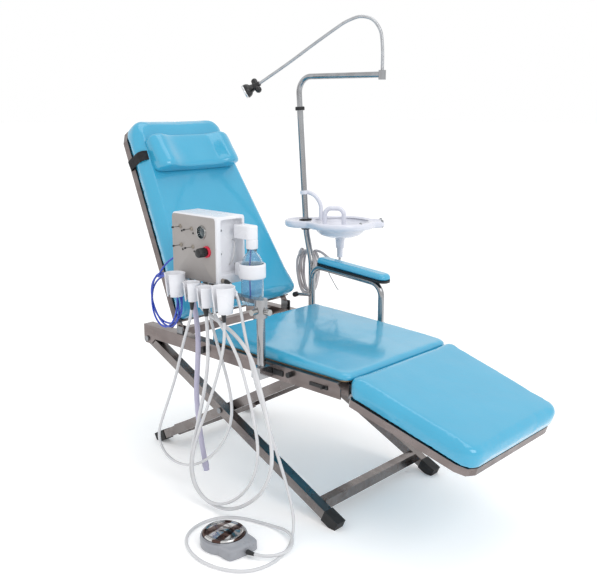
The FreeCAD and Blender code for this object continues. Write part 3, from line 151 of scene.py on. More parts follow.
def coated_vinyl():
    """PVC on knitted cloth: a glossy topcoat over a fine leather emboss and the foam's slow waves."""
    vinyl = bpy.context.scene.chair_upholstery.vinyl
    material = surface("pvc_coated_upholstery_vinyl", vinyl, "#349CC0", 0.12, 0.0016, 0.00005, (0.16, 0.24),
                       Coat_Weight=0.6, Coat_Roughness=0.07)
    tree = material.node_tree
    coords = add(tree, "ShaderNodeTexCoord")
    emboss = add(tree, "ShaderNodeTexVoronoi", {"Vector": (coords, "Object")}, in_Scale=1 / 0.0022)
    foam = add(tree, "ShaderNodeTexNoise", {"Vector": (coords, "Object")}, in_Scale=1 / 0.1, in_Detail=1.0)
    waves = add(tree, "ShaderNodeBump", {"Height": (foam, "Fac")}, in_Strength=1.0, in_Distance=0.004)
    skin = add(tree, "ShaderNodeBump", {"Height": (emboss, "Distance"), "Normal": (waves, "Normal")},
               in_Strength=0.5, in_Distance=0.00006)
    tree.links.new(skin.outputs["Normal"], tree.nodes["Principled BSDF"].inputs["Normal"])
    return material


def metal(name, light, dark, rough=(0.12, 0.26), drawn=(1, 1, 1), painted_reflection_brown="#6B5A50", spread=0.25):
    """Bare or plated metal: streaks drawn along its length, dull patches in the plating, and brown streaks of
    painted reflection.
    """
    material = surface(name, light, dark, 0.06, 0.0008, 0.00001, rough, Metallic=1.0)
    tree = material.node_tree
    bsdf = tree.nodes["Principled BSDF"]
    coords = add(tree, "ShaderNodeTexCoord")
    along = add(tree, "ShaderNodeMapping", {"Vector": (coords, "Object")}, in_Scale=drawn)
    lines = add(tree, "ShaderNodeTexNoise", {"Vector": (along, "Vector")}, in_Scale=1 / 0.02, in_Detail=4.0)
    # painted reflection: the brown mixed in here stands for the room reflected in the metal, streaked along
    # the drawn direction
    painted_reflection_streaks = add(tree, "ShaderNodeMapRange", {"Value": (lines, "Fac")})
    for socket, value in (("From Min", 0.45), ("From Max", 0.75), ("To Max", spread)):
        painted_reflection_streaks.inputs[socket].default_value = value
    tones = bsdf.inputs["Base Color"].links[0].from_node
    streaked_with_painted_reflection = mixed(tree, (painted_reflection_streaks, "Result"), (tones, 2), painted_reflection_brown)
    tree.links.new(streaked_with_painted_reflection.outputs[2], bsdf.inputs["Base Color"])
    return material


def clear_plastic():
    """Blown PET: clear with a faint blue cast, and slow waves left by the blow mould."""
    return surface("clear_blown_bottle_plastic", "#E6F3FA", "#D8ECF6", 0.05, 0.012, 0.0002, (0.02, 0.05),
                   Transmission_Weight=0.92, IOR=1.3)


def dished_steel():
    """Pressed stainless tread: bright, with broad dark and brown stripes of painted reflection, a room's
    reflection painted into its colour.
    """
    material = metal("pressed_stainless_tread", "#D6D6D5", "#BDBCBB", (0.08, 0.16))
    tree = material.node_tree
    bsdf = tree.nodes["Principled BSDF"]
    coords = add(tree, "ShaderNodeTexCoord")
    # painted reflection: dark brown wavy stripes across the tread stand for a room reflected in the steel
    painted_reflection_bands = add(tree, "ShaderNodeTexWave", {"Vector": (coords, "Object")}, in_Scale=7.0, in_Distortion=5.0)
    painted_reflection_mask = add(tree, "ShaderNodeMapRange", {"Value": (painted_reflection_bands, "Fac")})
    painted_reflection_mask.inputs["From Min"].default_value = 0.45
    painted_reflection_mask.inputs["From Max"].default_value = 0.6
    before = bsdf.inputs["Base Color"].links[0].from_node
    banded_with_painted_reflection = mixed(tree, (painted_reflection_mask, "Result"), (before, 2), "#5A4640")
    tree.links.new(banded_with_painted_reflection.outputs[2], bsdf.inputs["Base Color"])
    return material


# each finish: how it is made, and the material slot of the frame that it stands for
FINISH_MAKERS = {
    "vinyl": (coated_vinyl, "blue_vinyl"),
    # bright nickel-chrome on drawn tube: near mirror, with a faint brown of painted reflection
    "plated": (lambda: metal("bright_plated_steel", "#B0B2B5", "#8F9092", (0.14, 0.22), (1, 1, 0.1)),
               "plated_steel"),
    # folded channel, plated duller than the tubes, with heavier brown streaks of painted reflection
    "rail": (lambda: metal("dull_plated_sheet_steel", "#908785", "#6F6664", (0.24, 0.36), (0.1, 1, 1),
                           "#5F524D", 0.4), "plated_steel"),
    # square tube with a satin plate: brown streaks of painted reflection along the legs
    "leg": (lambda: metal("satin_plated_square_tube", "#96918F", "#716A68", (0.22, 0.34), (0.15, 1, 0.4),
                          "#5F4F4A", 0.4), "plated_steel"),
    # zinc passivate: grey, slightly blue, soft highlights
    "zinc": (lambda: metal("zinc_plated_hardware", "#9C9FA2", "#777A7E", (0.25, 0.4)), "steel_hardware"),
    "stainless": (lambda: metal("polished_stainless_steel", "#BDBDBB", "#9A9A99", (0.1, 0.2)), "stainless"),
    "gooseneck": (lambda: metal("chromed_flexible_arm", "#C4C6C9", "#A0A3A7", (0.2, 0.3)), "steel_hardware"),
    "tread": (dished_steel, "stainless"),
    # injection-moulded ABS: fine spark texture, cool white, soft gloss
    "white_abs": (lambda: surface("moulded_white_abs", "#E4E5E9", "#DBDCE2", 0.08, 0.0009, 0.00003,
                                  (0.24, 0.34)), "white_abs"),
    # vacuum-formed tray: whiter, wetter gloss, slow waves
    "tray": (lambda: surface("vacuum_formed_white_plastic", "#DCDDE6", "#CFD1DC", 0.09, 0.02, 0.0003,
                             (0.12, 0.2), Coat_Weight=0.3), "white_abs"),
    # screen-printed aluminium fascia, warm light grey, matt
    "panel": (lambda: surface("lacquered_aluminium_fascia", "#A29D9B", "#97928F", 0.07, 0.0007, 0.00003,
                              (0.38, 0.5)), "panel_grey"),
    # turned acetal and phenolic grips: dull sheen, tool marks too fine to see
    "black": (lambda: surface("black_moulded_acetal", "#1B1C1F", "#0F1011", 0.02, 0.0008, 0.00003,
                              (0.3, 0.45)), "black_plastic"),
    "red": (lambda: surface("red_moulded_collar", "#D61E42", "#B7142F", 0.02, 0.0006, 0.00002, (0.25, 0.35)),
            "black_plastic"),
    # vulcanised rubber: almost black, chalky where it has rubbed the floor
    "rubber": (lambda: surface("moulded_black_rubber", "#202021", "#121213", 0.03, 0.0012, 0.00008,
                               (0.55, 0.75)), "black_rubber"),
    "elastic": (lambda: surface("woven_black_elastic", "#1D1D20", "#101012", 0.01, 0.0014, 0.0002,
                                (0.75, 0.9)), "black_rubber"),
    "plywood": (lambda: surface("birch_plywood_edge", "#8F7A5E", "#6E5A42", 0.03, 0.002, 0.0001,
                                (0.55, 0.7)), "plywood"),
    # black cambric stapled under the cushions
    "backing": (lambda: surface("black_nonwoven_backing", "#232325", "#151516", 0.02, 0.0009, 0.00012,
                                (0.8, 0.95)), "plywood"),
    # extruded silicone: milky grey, light scatters a little below its skin
    "silicone": (lambda: surface("grey_silicone_hose", "#D6D6D8", "#C3C4C7", 0.06, 0.0011, 0.00003,
                                 (0.3, 0.42), Subsurface_Weight=0.1,
                                 Subsurface_Radius=(0.004, 0.004, 0.004)), "grey_silicone"),
    "suction": (lambda: surface("mauve_suction_hose", "#BDBACD", "#A9A5BF", 0.05, 0.0012, 0.00004,
                                (0.3, 0.42)), "mauve_silicone"),
    "drain": (lambda: surface("grey_drain_hose", "#CFCBCC", "#B8B2B4", 0.05, 0.0012, 0.00004, (0.3, 0.42)),
              "mauve_silicone"),
    "fitting": (lambda: metal("nickelled_brass_fitting", "#A9A39A", "#857D72", (0.25, 0.35)),
                "steel_hardware"),
    # polyurethane air tube: deep royal blue right through, wet gloss
    "blue_tube": (lambda: surface("blue_polyurethane_tube", "#2348C4", "#1A379F", 0.05, 0.001, 0.00002,
                                  (0.14, 0.22), Coat_Weight=0.3), "blue_tubing"),
    # hammered enamel: the small dimples break its highlight
    "pedal": (lambda: surface("hammered_grey_enamel", "#A0A2A8", "#909298", 0.03, 0.0035, 0.0002,
                              (0.25, 0.38)), "pedal_grey"),
    "aluminium": (lambda: metal("machined_aluminium", "#C6C8CA", "#A9ABAE", (0.25, 0.35)),
                  "aluminium_block"),
    "needle": (lambda: surface("enamelled_needle", "#F0F0EE", "#E2E2E0", 0.01, 0.0006, 0.00001, (0.4, 0.5)),
               "needle_white"),
    # printed dial behind glass: black with a teal cast
    "dial": (lambda: surface("printed_gauge_dial", "#24424C", "#101A1F", 0.012, 0.0006, 0.00001,
                             (0.08, 0.12), Coat_Weight=1.0), "black_plastic"),
    "reflector": (lambda: metal("aluminised_reflector", "#E4E6E8", "#C9CCCF", (0.05, 0.12)), "stainless"),
    "clear": (clear_plastic, "clear_bottle"),
}
FINISHES = {}


def finish_named(name):
    """Return a finish, making it the first time that it is asked for."""
    if name not in FINISHES:
        FINISHES[name] = FINISH_MAKERS[name][0]()
    return FINISHES[name]


FINISH_OF_NODE = {
    "seat_rail_right": "rail", "seat_rail_left": "rail", "seat_cross_tubes": "rail", "slide_tracks": "zinc",
    "frame_sockets": "plated", "hinge_brackets": "zinc", "pivot_bolts": "zinc", "scissor_bolts": "zinc",
    "outer_leg_frame": "leg", "inner_leg_frame": "leg", "outer_feet": "rubber", "inner_feet": "rubber",
    "back_frame": "rail", "footrest_frame": "rail", "seat_board": "plywood", "back_board": "backing",
    "footrest_board": "backing", "armrest_tube": "plated", "armrest_base": "black",
    "lock_latches": "black", "unit_pole": "plated", "unit_bracket": "plated", "clamp_knobs": "stainless",
    "air_manifold": "aluminium", "bottle_ring": "white_abs", "holder_bar": "white_abs",
    "hose_fittings": "fitting", "lamp_pole": "plated", "lamp_arm": "plated", "water_spouts": "tray",
    "gauge_needle": "needle",
}


# ---------------------------------------------------------------- surfaces

def grid_faces(rows, columns, wrap_rows=False):
    """Quads between neighbouring rows and columns of a grid that is closed round its columns."""
    row = np.arange(rows if wrap_rows else rows - 1)[:, None]
    column = np.arange(columns)[None, :]
    after = (column + 1) % columns
    below = (row + 1) % rows
    quads = np.stack([row * columns + column, row * columns + after,
                      below * columns + after, below * columns + column], axis=-1)
    return quads.reshape(-1, 4)


def settle(piece, body, finish, replaces):
    """Link a piece, give it its finish and slot, set it on its body and let it stand for its nodes."""
    bpy.context.scene.collection.objects.link(piece)
    piece.data.materials.append(finish_named(finish))
    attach(piece, body)
    if replaces:
        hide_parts(*replaces)


def closed_ends(rings):
    """Draw the first and the last ring in to their middles, which closes the surface."""
    ends = [np.broadcast_to(rings[index].mean(axis=0), rings[0].shape)[None] for index in (0, -1)]
    return np.concatenate([ends[0], rings, ends[1]])


def make_piece(name, points, faces, body, finish, replaces=()):
    """Make a mesh object from arrays in metres, weld its poles, point its faces outwards and ride it."""
    mesh = bpy.data.meshes.new(name)
    mesh.from_pydata(points.reshape(-1, 3).tolist(), [], faces.tolist())
    form = bmesh.new()
    form.from_mesh(mesh)
    bmesh.ops.remove_doubles(form, verts=form.verts, dist=1e-5)
    bmesh.ops.recalc_face_normals(form, faces=form.faces)
    form.to_mesh(mesh)
    form.free()
    mesh.shade_smooth()
    piece = bpy.data.objects.new(name, mesh)
    settle(piece, body, finish, replaces)
    return piece


def axes_about(axis):
    """An axis made unit long, and two unit vectors square to it and to each other."""
    axis = np.array(axis, dtype=float) / np.linalg.norm(axis)
    helper = np.array([0.0, 0.0, 1.0]) if abs(axis[2]) < 0.9 else np.array([1.0, 0.0, 0.0])
    first = np.cross(axis, helper)
    first /= np.linalg.norm(first)
    return axis, first, np.cross(axis, first)


def revolved(name, profile, foot, axis, body, finish, around=40, ribs=None, loop=False, replaces=()):
    """Turn a profile of (radius, height) in millimetres about an axis through a place of the chair.

    Point (i, j) is foot + height_i * axis + radius_i * (cos a_j, sin a_j) in the plane square to the axis.
    ribs = (count, depth, first row, last row) makes radius_i swell by depth * |cos(count * a / 2)| there.
    A loop profile is a closed ring that stays off the axis."""
    profile = np.array(profile, dtype=float)
    axis, first, second = axes_about(axis)
    angle = np.linspace(0, 2 * math.pi, around, endpoint=False)
    radius = np.repeat(profile[:, :1], around, axis=1)
    if ribs:
        count, depth, low, high = ribs
        radius[low:high] += depth * np.abs(np.cos(count * angle / 2))
    ring = np.cos(angle)[:, None] * first + np.sin(angle)[:, None] * second
    points = np.array(foot, dtype=float) + profile[:, 1][:, None, None] * axis + radius[..., None] * ring
    points = (points + CHAIR_ORIGIN) * MM
    return make_piece(name, points, grid_faces(len(profile), around, loop), body, finish, replaces)


def lofted(name, rings, body, finish, replaces=()):
    """Join closed rings of equal point counts, given in millimetres in the chair's own frame."""
    rings = closed_ends(np.asarray(rings, dtype=float))
    return make_piece(name, (rings + CHAIR_ORIGIN) * MM, grid_faces(len(rings), rings.shape[1]), body, finish,
                      replaces)


def rounded_outline(corners, radii, steps=10):
    """Closed outline through rounded corners.

    Each corner becomes an arc between its two tangent points, run through by equal angles:
    centre + (sin((1 - s) t) * d0 + sin(s t) * d1) / sin(t), t being the angle between d0 and d1."""
    corners = np.array(corners, dtype=float)
    before = np.roll(corners, 1, axis=0) - corners
    after = np.roll(corners, -1, axis=0) - corners
    before /= np.linalg.norm(before, axis=1)[:, None]
    after /= np.linalg.norm(after, axis=1)[:, None]
    radii = np.broadcast_to(np.array(radii, dtype=float), (len(corners),))[:, None]
    half = np.arccos(np.clip((before * after).sum(axis=1), -1, 1))[:, None] / 2
    bisector = (before + after) / np.linalg.norm(before + after, axis=1)[:, None]
    centre = corners + bisector * radii / np.sin(half)
    start = corners + before * radii / np.tan(half) - centre
    end = corners + after * radii / np.tan(half) - centre
    sweep = (math.pi - 2 * half)[:, None, :]
    share = np.linspace(0, 1, steps)[None, :, None]
    arc = np.sin((1 - share) * sweep) * start[:, None] + np.sin(share * sweep) * end[:, None]
    return (centre[:, None] + arc / np.sin(sweep)).reshape(-1, 2)


def resampled(outline, count):
    """Spread points evenly along a closed outline."""
    closed = np.vstack([outline, outline[:1]])
    along = np.concatenate([[0], np.cumsum(np.linalg.norm(np.diff(closed, axis=0), axis=1))])
    wanted = np.linspace(0, along[-1], count, endpoint=False)
    return np.stack([np.interp(wanted, along, closed[:, axis]) for axis in (0, 1)], axis=1)


def anticlockwise(outline):
    """Turn an outline round if it runs clockwise."""
    after = np.roll(outline, -1, axis=0)
    area = (outline[:, 0] * after[:, 1] - after[:, 0] * outline[:, 1]).sum()
    return outline if area > 0 else outline[::-1]


def inset(outline, distance):
    """Draw an anticlockwise outline in by a distance along its own normals."""
    tangent = np.roll(outline, -1, axis=0) - np.roll(outline, 1, axis=0)
    tangent /= np.linalg.norm(tangent, axis=1)[:, None]
    return outline + distance * np.stack([-tangent[:, 1], tangent[:, 0]], axis=1)


def block_rings(outline, low, high, edge, put, steps=6):
    """Rings of a block with rounded edges: an outline carried from low to high, drawn in near both ends.

    At an angle a of a quarter turn the outline is drawn in by edge * (1 - sin a) at edge * (1 - cos a)
    from the end. put(outline, height) places an outline in the chair's own frame."""
    turn = np.linspace(0, math.pi / 2, steps)
    rings = [put(inset(outline, edge * (1 - math.sin(a))), low + edge * (1 - math.cos(a))) for a in turn]
    rings += [put(inset(outline, edge * (1 - math.sin(a))), high - edge * (1 - math.cos(a)))
              for a in turn[::-1]]
    return rings


def upright(outline, height):
    """Place an outline of (x, y) at a height."""
    return np.column_stack([outline, np.full(len(outline), height)])


def facing_near(outline, y):
    """Place an outline of (x, z) at a distance y across the chair."""
    return np.column_stack([outline[:, 0], np.full(len(outline), y), outline[:, 1]])


def facing_foot(outline, x):
    """Place an outline of (y, z) at a distance x along the chair."""
    return np.column_stack([np.full(len(outline), x), outline])


def rectangle(left, right, low, high, radius, count=96):
    """Rounded rectangle, anticlockwise, with evenly spread points."""
    corners = [(left, low), (right, low), (right, high), (left, high)]
    return resampled(rounded_outline(corners, radius), count)


def arc_route(points, share=0.45, steps=8):
    """Straight runs joined by tangent arcs, each as large as the shorter of its two runs allows."""
    points = [np.array(point, dtype=float) for point in points]
    route = [points[0][None]]
    for before, corner, after in zip(points, points[1:], points[2:]):
        back = before - corner
        ahead = after - corner
        reach = share * min(np.linalg.norm(back), np.linalg.norm(ahead))
        start = corner + back / np.linalg.norm(back) * reach
        end = corner + ahead / np.linalg.norm(ahead) * reach
        s = np.linspace(0, 1, steps)[:, None]
        route.append((1 - s) ** 2 * start + 2 * s * (1 - s) * corner + s ** 2 * end)
    route.append(points[-1][None])
    return np.vstack(route)


def evenly(route, step):
    """Points at equal steps along a route."""
    along = np.concatenate([[0], np.cumsum(np.linalg.norm(np.diff(route, axis=0), axis=1))])
    wanted = np.linspace(0, along[-1], max(2, int(along[-1] / step)))
    return np.stack([np.interp(wanted, along, route[:, axis]) for axis in range(3)], axis=1)


def tube_rings(route, radii, around=20):
    """Rings square to a route; each ring's first direction is the last one's, turned as little as it can."""
    tangent = np.gradient(route, axis=0)
    tangent /= np.linalg.norm(tangent, axis=1)[:, None]
    first = axes_about(tangent[0])[1]
    angle = np.linspace(0, 2 * math.pi, around, endpoint=False)
    rings = []
    for place_on, along, radius in zip(route, tangent, np.broadcast_to(radii, len(route))):
        first = first - along * first.dot(along)
        first /= np.linalg.norm(first)
        second = np.cross(along, first)
        rings.append(place_on + radius * (np.cos(angle)[:, None] * first + np.sin(angle)[:, None] * second))
    return rings


# ---------------------------------------------------------------- cushions

def cushion_points(outline, depth, shoulder, crown, dish, fall=None, lip=0.006):
    """Crowned pad in its own plane, as rings from the middle of its face to the middle of its back.

    Inside the shoulder the face stands at crown * (1 - s^4) - dish * (1 - s^2)^2, s being the share of the
    way out. The shoulder follows a quarter round of that radius, the side goes straight down, and the back
    is drawn in by a lip where the cover is pulled over the board."""
    rim = anticlockwise(resampled(outline, 220))
    middle = rim.mean(axis=0)
    inner = inset(rim, shoulder)
    share = np.linspace(0.02, 1, 26)
    face = middle + (inner - middle) * share[:, None, None]
    face_z = crown * (1 - share ** 4) - dish * (1 - share ** 2) ** 2
    turn = np.linspace(0, math.pi / 2, 12)[1:]
    edge = np.stack([inset(rim, shoulder * (1 - math.sin(a))) for a in turn])
    edge_z = -shoulder * (1 - np.cos(turn))
    side_z = np.linspace(-shoulder, -depth + lip, 6)[1:]
    side = np.broadcast_to(rim, (len(side_z),) + rim.shape)
    back = np.stack([inset(rim, lip * 0.3), inset(rim, lip)])
    back_z = np.array([-depth + lip * 0.3, -depth])
    floor = middle + (inset(rim, lip) - middle) * np.linspace(0.95, 0.02, 8)[:, None, None]
    rings = np.concatenate([face, edge, side, back, floor])
    heights = np.concatenate([face_z, edge_z, side_z, back_z, np.full(8, -depth)])
    heights = np.broadcast_to(heights[:, None], rings.shape[:2]).copy()
    if fall:
        share_down = np.clip(1 + heights / depth, 0, 1)
        heights += fall(rings[..., 0]) * share_down
    return np.concatenate([rings, heights[..., None]], axis=2)


def bake(piece):
    """Apply every modifier of a piece to its mesh."""
    graph = bpy.context.evaluated_depsgraph_get()
    finished = bpy.data.meshes.new_from_object(piece.evaluated_get(graph), depsgraph=graph)
    piece.modifiers.clear()
    piece.data = finished


def swell(piece, cap, pressure=4.0, voxel=0.0055):
    """Draw a pad's skin tight: remesh it evenly, blow it up as cloth, and cap how far any point moves."""
    remesh = piece.modifiers.new("even_skin", "REMESH")
    remesh.mode = "VOXEL"
    remesh.voxel_size = voxel
    bake(piece)
    before = np.empty(len(piece.data.vertices) * 3, np.float32)
    piece.data.vertices.foreach_get("co", before)
    cloth = piece.modifiers.new("skin", "CLOTH")
    cloth.settings.use_pressure = True
    cloth.settings.uniform_pressure_force = pressure
    cloth.settings.effector_weights.gravity = 0
    for number in range(1, 13):
        bpy.context.scene.frame_set(number)
    bake(piece)
    bpy.context.scene.frame_set(1)
    after = np.empty_like(before)
    piece.data.vertices.foreach_get("co", after)
    move = (after - before).reshape(-1, 3)
    length = np.linalg.norm(move, axis=1)
    move *= (np.minimum(length, cap) / np.maximum(length, 1e-9))[:, None]
    piece.data.vertices.foreach_set("co", (before.reshape(-1, 3) + move).ravel())
    piece.data.update()


def pad_piece(name, points, body, node, cap=0.0):
    """Make a pad from rings in the row frame, close it, swell it, and let it stand for its CAD solid."""
    points = closed_ends(points)
    piece = make_piece(name, points, grid_faces(*points.shape[:2]), body, "vinyl", (node,))
    if cap:
        swell(piece, cap)
        smooth = piece.modifiers.new("smooth", "SUBSURF")
        smooth.levels = 1
        smooth.render_levels = 1
        piece.data.shade_smooth()
    return piece


def panel_plane(origin, across, along):
    """Return a function that carries (a, b, c) to origin + a * across + b * along + c * across x along."""
    across = np.array(across, dtype=float)
    along = np.array(along, dtype=float)
    out = np.cross(across, along)

    def carry(points):
        return origin + points[..., :1] * across + points[..., 1:2] * along + points[..., 2:] * out
    return carry


def back_plane():
    """The backrest's own plane: across the chair, up the back, and out of its face."""
    angle = bpy.context.scene.chair_upholstery.back_angle
    return panel_plane(place(-127, 0, 514), (0, 1, 0), (-math.cos(angle), 0, math.sin(angle)))


def foot_plane():
    """The footrest's own plane: across the chair, down the footrest, and out of its face."""
    angle = bpy.context.scene.chair_upholstery.foot_angle
    return panel_plane(place(542, 0, 450), (0, -1, 0), (math.cos(angle), 0, -math.sin(angle)))


def arm_plane():
    """The armrest pad's own plane: along the pad, across it, and up."""
    slope = math.atan2(24, 311)
    return panel_plane(place(-38 + 8 * math.sin(slope), 270, 617.2 + 8 * math.cos(slope)),
                       (math.cos(slope), 0, -math.sin(slope)), (0, 1, 0))


def pillow_points(half, height, depth):
    """Headrest: rings across the chair from one end to the other.

    The section at x is a superellipse of power 4.6. It is depth * d deep, with
    d = 0.66 + 0.34 exp(-((|x / half| - 0.78) / 0.24)^2), so two lobes near the ends are full and the middle
    is hollow. Each end is rounded over by e = (1 - |x / half|^14)^0.22. Its lower edge keeps forward and
    its upper edge leans back."""
    roundness = 4.6
    x = np.sin(np.linspace(-math.pi / 2, math.pi / 2, 84)) * half
    share = np.abs(x / half)
    end = np.clip(1 - share ** 14, 0, 1) ** 0.22
    lobe = 0.66 + 0.34 * np.exp(-((share - 0.78) / 0.24) ** 2)
    angle = np.linspace(0, 2 * math.pi, 64, endpoint=False)
    power = 2 / roundness
    along = np.sign(np.cos(angle)) * np.abs(np.cos(angle)) ** power
    out = np.sign(np.sin(angle)) * np.abs(np.sin(angle)) ** power
    tall = height * (0.94 + 0.06 * lobe)
    y = height / 2 + (tall / 2 * (0.55 + 0.45 * end) * (end > 0))[:, None] * along[None, :]
    thick = (depth * lobe * (0.45 + 0.55 * end))[:, None]
    z = thick * (0.5 + 0.5 * out[None, :])
    z = z * (1 - 0.18 * np.clip(y / height, 0, 1)) + 0.010 * np.clip(0.5 - y / height, 0, 1) * (z > 0.03)
    return np.stack([np.broadcast_to(x[:, None], y.shape), y, z], axis=-1)


class CushionsOperator(bpy.types.Operator):
    """Seat, backrest, footrest and armrest pads with their crowned faces."""

    bl_idname = "chair.cushions"
    bl_label = "Cushions"

    def execute(self, context):
        settings = context.scene.chair_upholstery
        shoulder = settings.shoulder
        seat_length, seat_half, seat_top = 0.567, 0.245, 0.482
        outline = rounded_outline([(0, -seat_half), (seat_length, -seat_half), (seat_length, seat_half),
                                   (0, seat_half)], [0.02, 0.034, 0.034, 0.02])
        points = cushion_points(outline, 0.041, shoulder * 0.85, 0.0, 0.003,
                                lambda x: -0.024 * np.clip(x / seat_length, 0, 1) ** 1.3)
        points = points + place(-37, 0, 0) + np.array([0, 0, seat_top])
        pad_piece("seat_pad", points, "seat_frame", "seat_cushion", 0.003)

        outline = rounded_outline([(-0.260, -0.002), (0.260, -0.002), (0.191, 0.703), (-0.191, 0.703)],
                                  [0.026, 0.026, 0.05, 0.05])
        points = back_plane()(cushion_points(outline, 0.059, shoulder, 0.0, 0.004))
        pad_piece("back_pad", points, "backrest", "back_cushion", 0.004)

        outline = rounded_outline([(-0.246, -0.004), (0.246, -0.004), (0.2245, 0.392), (-0.2245, 0.392)],
                                  [0.03, 0.03, 0.045, 0.045])
        points = cushion_points(outline, 0.054, shoulder, 0.002, 0.0) + np.array([0, 0, 0.007])
        # the upper rear edge rolls back over the gap to the seat
        roll = 0.013 * np.clip(1 + points[..., 2] / 0.047, 0, 1) * np.exp(-(points[..., 1] / 0.06) ** 2)
        points[..., 1] -= roll
        points = foot_plane()(points)
        pad_piece("footrest_pad", points, "footrest", "footrest_cushion", 0.003)

        outline = rounded_outline([(0, 0), (0.306, 0), (0.306, 0.056), (0, 0.056)], 0.024)
        outline = outline - np.array([0, 0.028])
        points = arm_plane()(cushion_points(outline, 0.021, 0.016, 0.0, 0.0) + np.array([0, 0, 0.021]))
        pad_piece("armrest_soft_pad", points, "armrest", "armrest_pad")
        return {"FINISHED"}


class HeadrestOperator(bpy.types.Operator):
    """Pillow with two lobes, and the elastic strap that holds it on the backrest."""

    bl_idname = "chair.headrest"
    bl_label = "Headrest"

    def execute(self, context):
        points = pillow_points(0.175, 0.130, 0.062) + np.array([0, 0.496, 0.0])
        pad_piece("headrest_pad", back_plane()(points), "headrest", "headrest_pillow")

        # the strap runs from one end of the pillow to the other, round the sides and the back of the frame
        side, front, rear, corner = 0.2085, 0.0018, -0.0875, 0.018
        loop = rounded_outline([(-side, rear), (side, rear), (side, front), (-side, front)], corner, 12)
        loop = anticlockwise(resampled(loop, 260))
        start = int(np.argmin(np.hypot(loop[:, 0] + 0.160, loop[:, 1] - front)))
        loop = np.roll(loop, -start, axis=0)
        returned = (loop[:, 0] > 0) & (loop[:, 0] < 0.160) & (loop[:, 1] > front - 1e-4)
        run = loop[:int(np.argmax(returned))]
        width, thickness = 0.034, 0.0016
        tangent = np.gradient(run, axis=0)
        normal = np.stack([tangent[:, 1], -tangent[:, 0]], axis=1) / np.linalg.norm(tangent, axis=1)[:, None]
        section = rounded_outline([(-width / 2, -thickness / 2), (width / 2, -thickness / 2),
                                   (width / 2, thickness / 2), (-width / 2, thickness / 2)], 0.0007, 4)
        flat = run[:, None] + normal[:, None] * section[None, :, 1:]
        up = np.broadcast_to(section[None, :, 0] + 0.566, flat.shape[:2])
        points = np.stack([flat[..., 0], up, flat[..., 1]], axis=-1)
        points = back_plane()(closed_ends(points))
        strap = make_piece("elastic_strap", points, grid_faces(*points.shape[:2]), "headrest", "elastic",
                           ("headrest_strap",))
        return {"FINISHED"}


# ---------------------------------------------------------------- hoses

def coil_route(lead, centre, half_width, half_height, turns, pitch, wander, start=0.0, per_turn=16):
    """A lead, then turns of an oval hank hung in a plane of constant y, each beside the last.

    Turn angle a gives centre + ((half_width + w) sin a, pitch * a / 2 pi, (half_height + w) cos a), and
    w = wander * sin(2.3 a) keeps the turns from lying on one oval."""
    angle = start + np.linspace(0, 2 * math.pi * turns, int(per_turn * turns) + 1)
    spread = wander * np.sin(2.3 * angle)
    oval = np.stack([centre[0] + (half_width + spread) * np.sin(angle),
                     centre[1] + pitch * (angle - start) / (2 * math.pi),
                     centre[2] + (half_height + spread) * np.cos(angle)], axis=1)
    return np.vstack([np.array(lead, dtype=float).reshape(-1, 3), oval])


# the free hoses: radius in millimetres, length in metres, finish, and a route in millimetres in
# the chair's own frame
HOSES = {
    "handpiece_hose_1": (4.5, 1.390, "silicone", [
        (30, -364, 602), (25, -362, 570), (-2, -358, 518), (-35, -355, 450), (-70, -353, 355),
        (-108, -355, 270), (-140, -358, 200), (-166, -361, 135), (-150, -364, 88), (-95, -366, 62),
        (-20, -366, 66), (55, -365, 100), (120, -362, 155), (168, -358, 220), (188, -352, 295),
        (168, -346, 370), (130, -339, 440), (85, -328, 510), (50, -317, 570), (36, -312, 612),
        (36, -312, 636)]),
    "suction_hose": (8, 0.551, "suction", [
        (-34, -311, 635), (-30, -312, 596), (-12, -316, 545), (6, -324, 480), (6, -330, 395),
        (0, -334, 310), (12, -338, 225), (30, -342, 150), (46, -344, 95)]),
    "handpiece_hose_2": (5.5, 1.626, "silicone", [
        (92, -364, 594), (95, -364, 556), (98, -364, 500), (98, -366, 430), (90, -374, 350),
        (75, -383, 270), (58, -391, 195), (46, -398, 130), (50, -404, 75), (80, -408, 35),
        (135, -411, 16), (200, -412, 18), (260, -412, 40), (320, -410, 80), (372, -406, 135),
        (398, -400, 205), (390, -393, 275), (360, -382, 345), (318, -368, 415), (262, -346, 485),
        (185, -332, 528), (115, -332, 552), (60, -330, 568), (24, -326, 580), (4, -315, 598),
        (0, -312, 618), (0, -312, 636)]),
    "syringe_hose": (4.5, 1.466, "silicone", [
        (170, -364, 590), (173, -364, 556), (172, -366, 505), (158, -369, 445), (135, -375, 370),
        (108, -384, 295), (78, -393, 215), (60, -401, 150), (60, -407, 95), (82, -413, 52),
        (130, -418, 26), (190, -420, 30), (250, -419, 60), (305, -415, 110), (342, -409, 175),
        (348, -402, 245), (322, -392, 320), (285, -380, 390), (240, -366, 460), (190, -358, 515),
        (138, -349, 552), (96, -337, 578), (74, -321, 598), (66, -312, 618), (66, -312, 636)]),
    "pedal_hose": (4.5, 1.824, "silicone", [
        (112.8, -303, 668), (138, -304, 663), (164, -308, 640), (186, -313, 600), (205, -319, 545),
        (232, -326, 478), (262, -331, 405), (300, -334, 325), (345, -338, 240), (385, -342, 165),
        (415, -346, 100), (435, -352, 45), (450, -374, 12), (476, -415, 6), (492, -468, 5),
        (494, -525, 5), (472, -574, 5), (424, -606, 5), (362, -620, 5), (300, -612, 5), (246, -586, 5),
        (210, -542, 5), (200, -486, 5), (214, -432, 5), (256, -394, 5), (312, -374, 5), (368, -364, 8),
        (420, -368, 18), (462, -386, 21), (488, -414, 17), (494, -450, 14), (478, -486, 13),
        (450, -508, 14), (420, -515.2, 15)]),
}


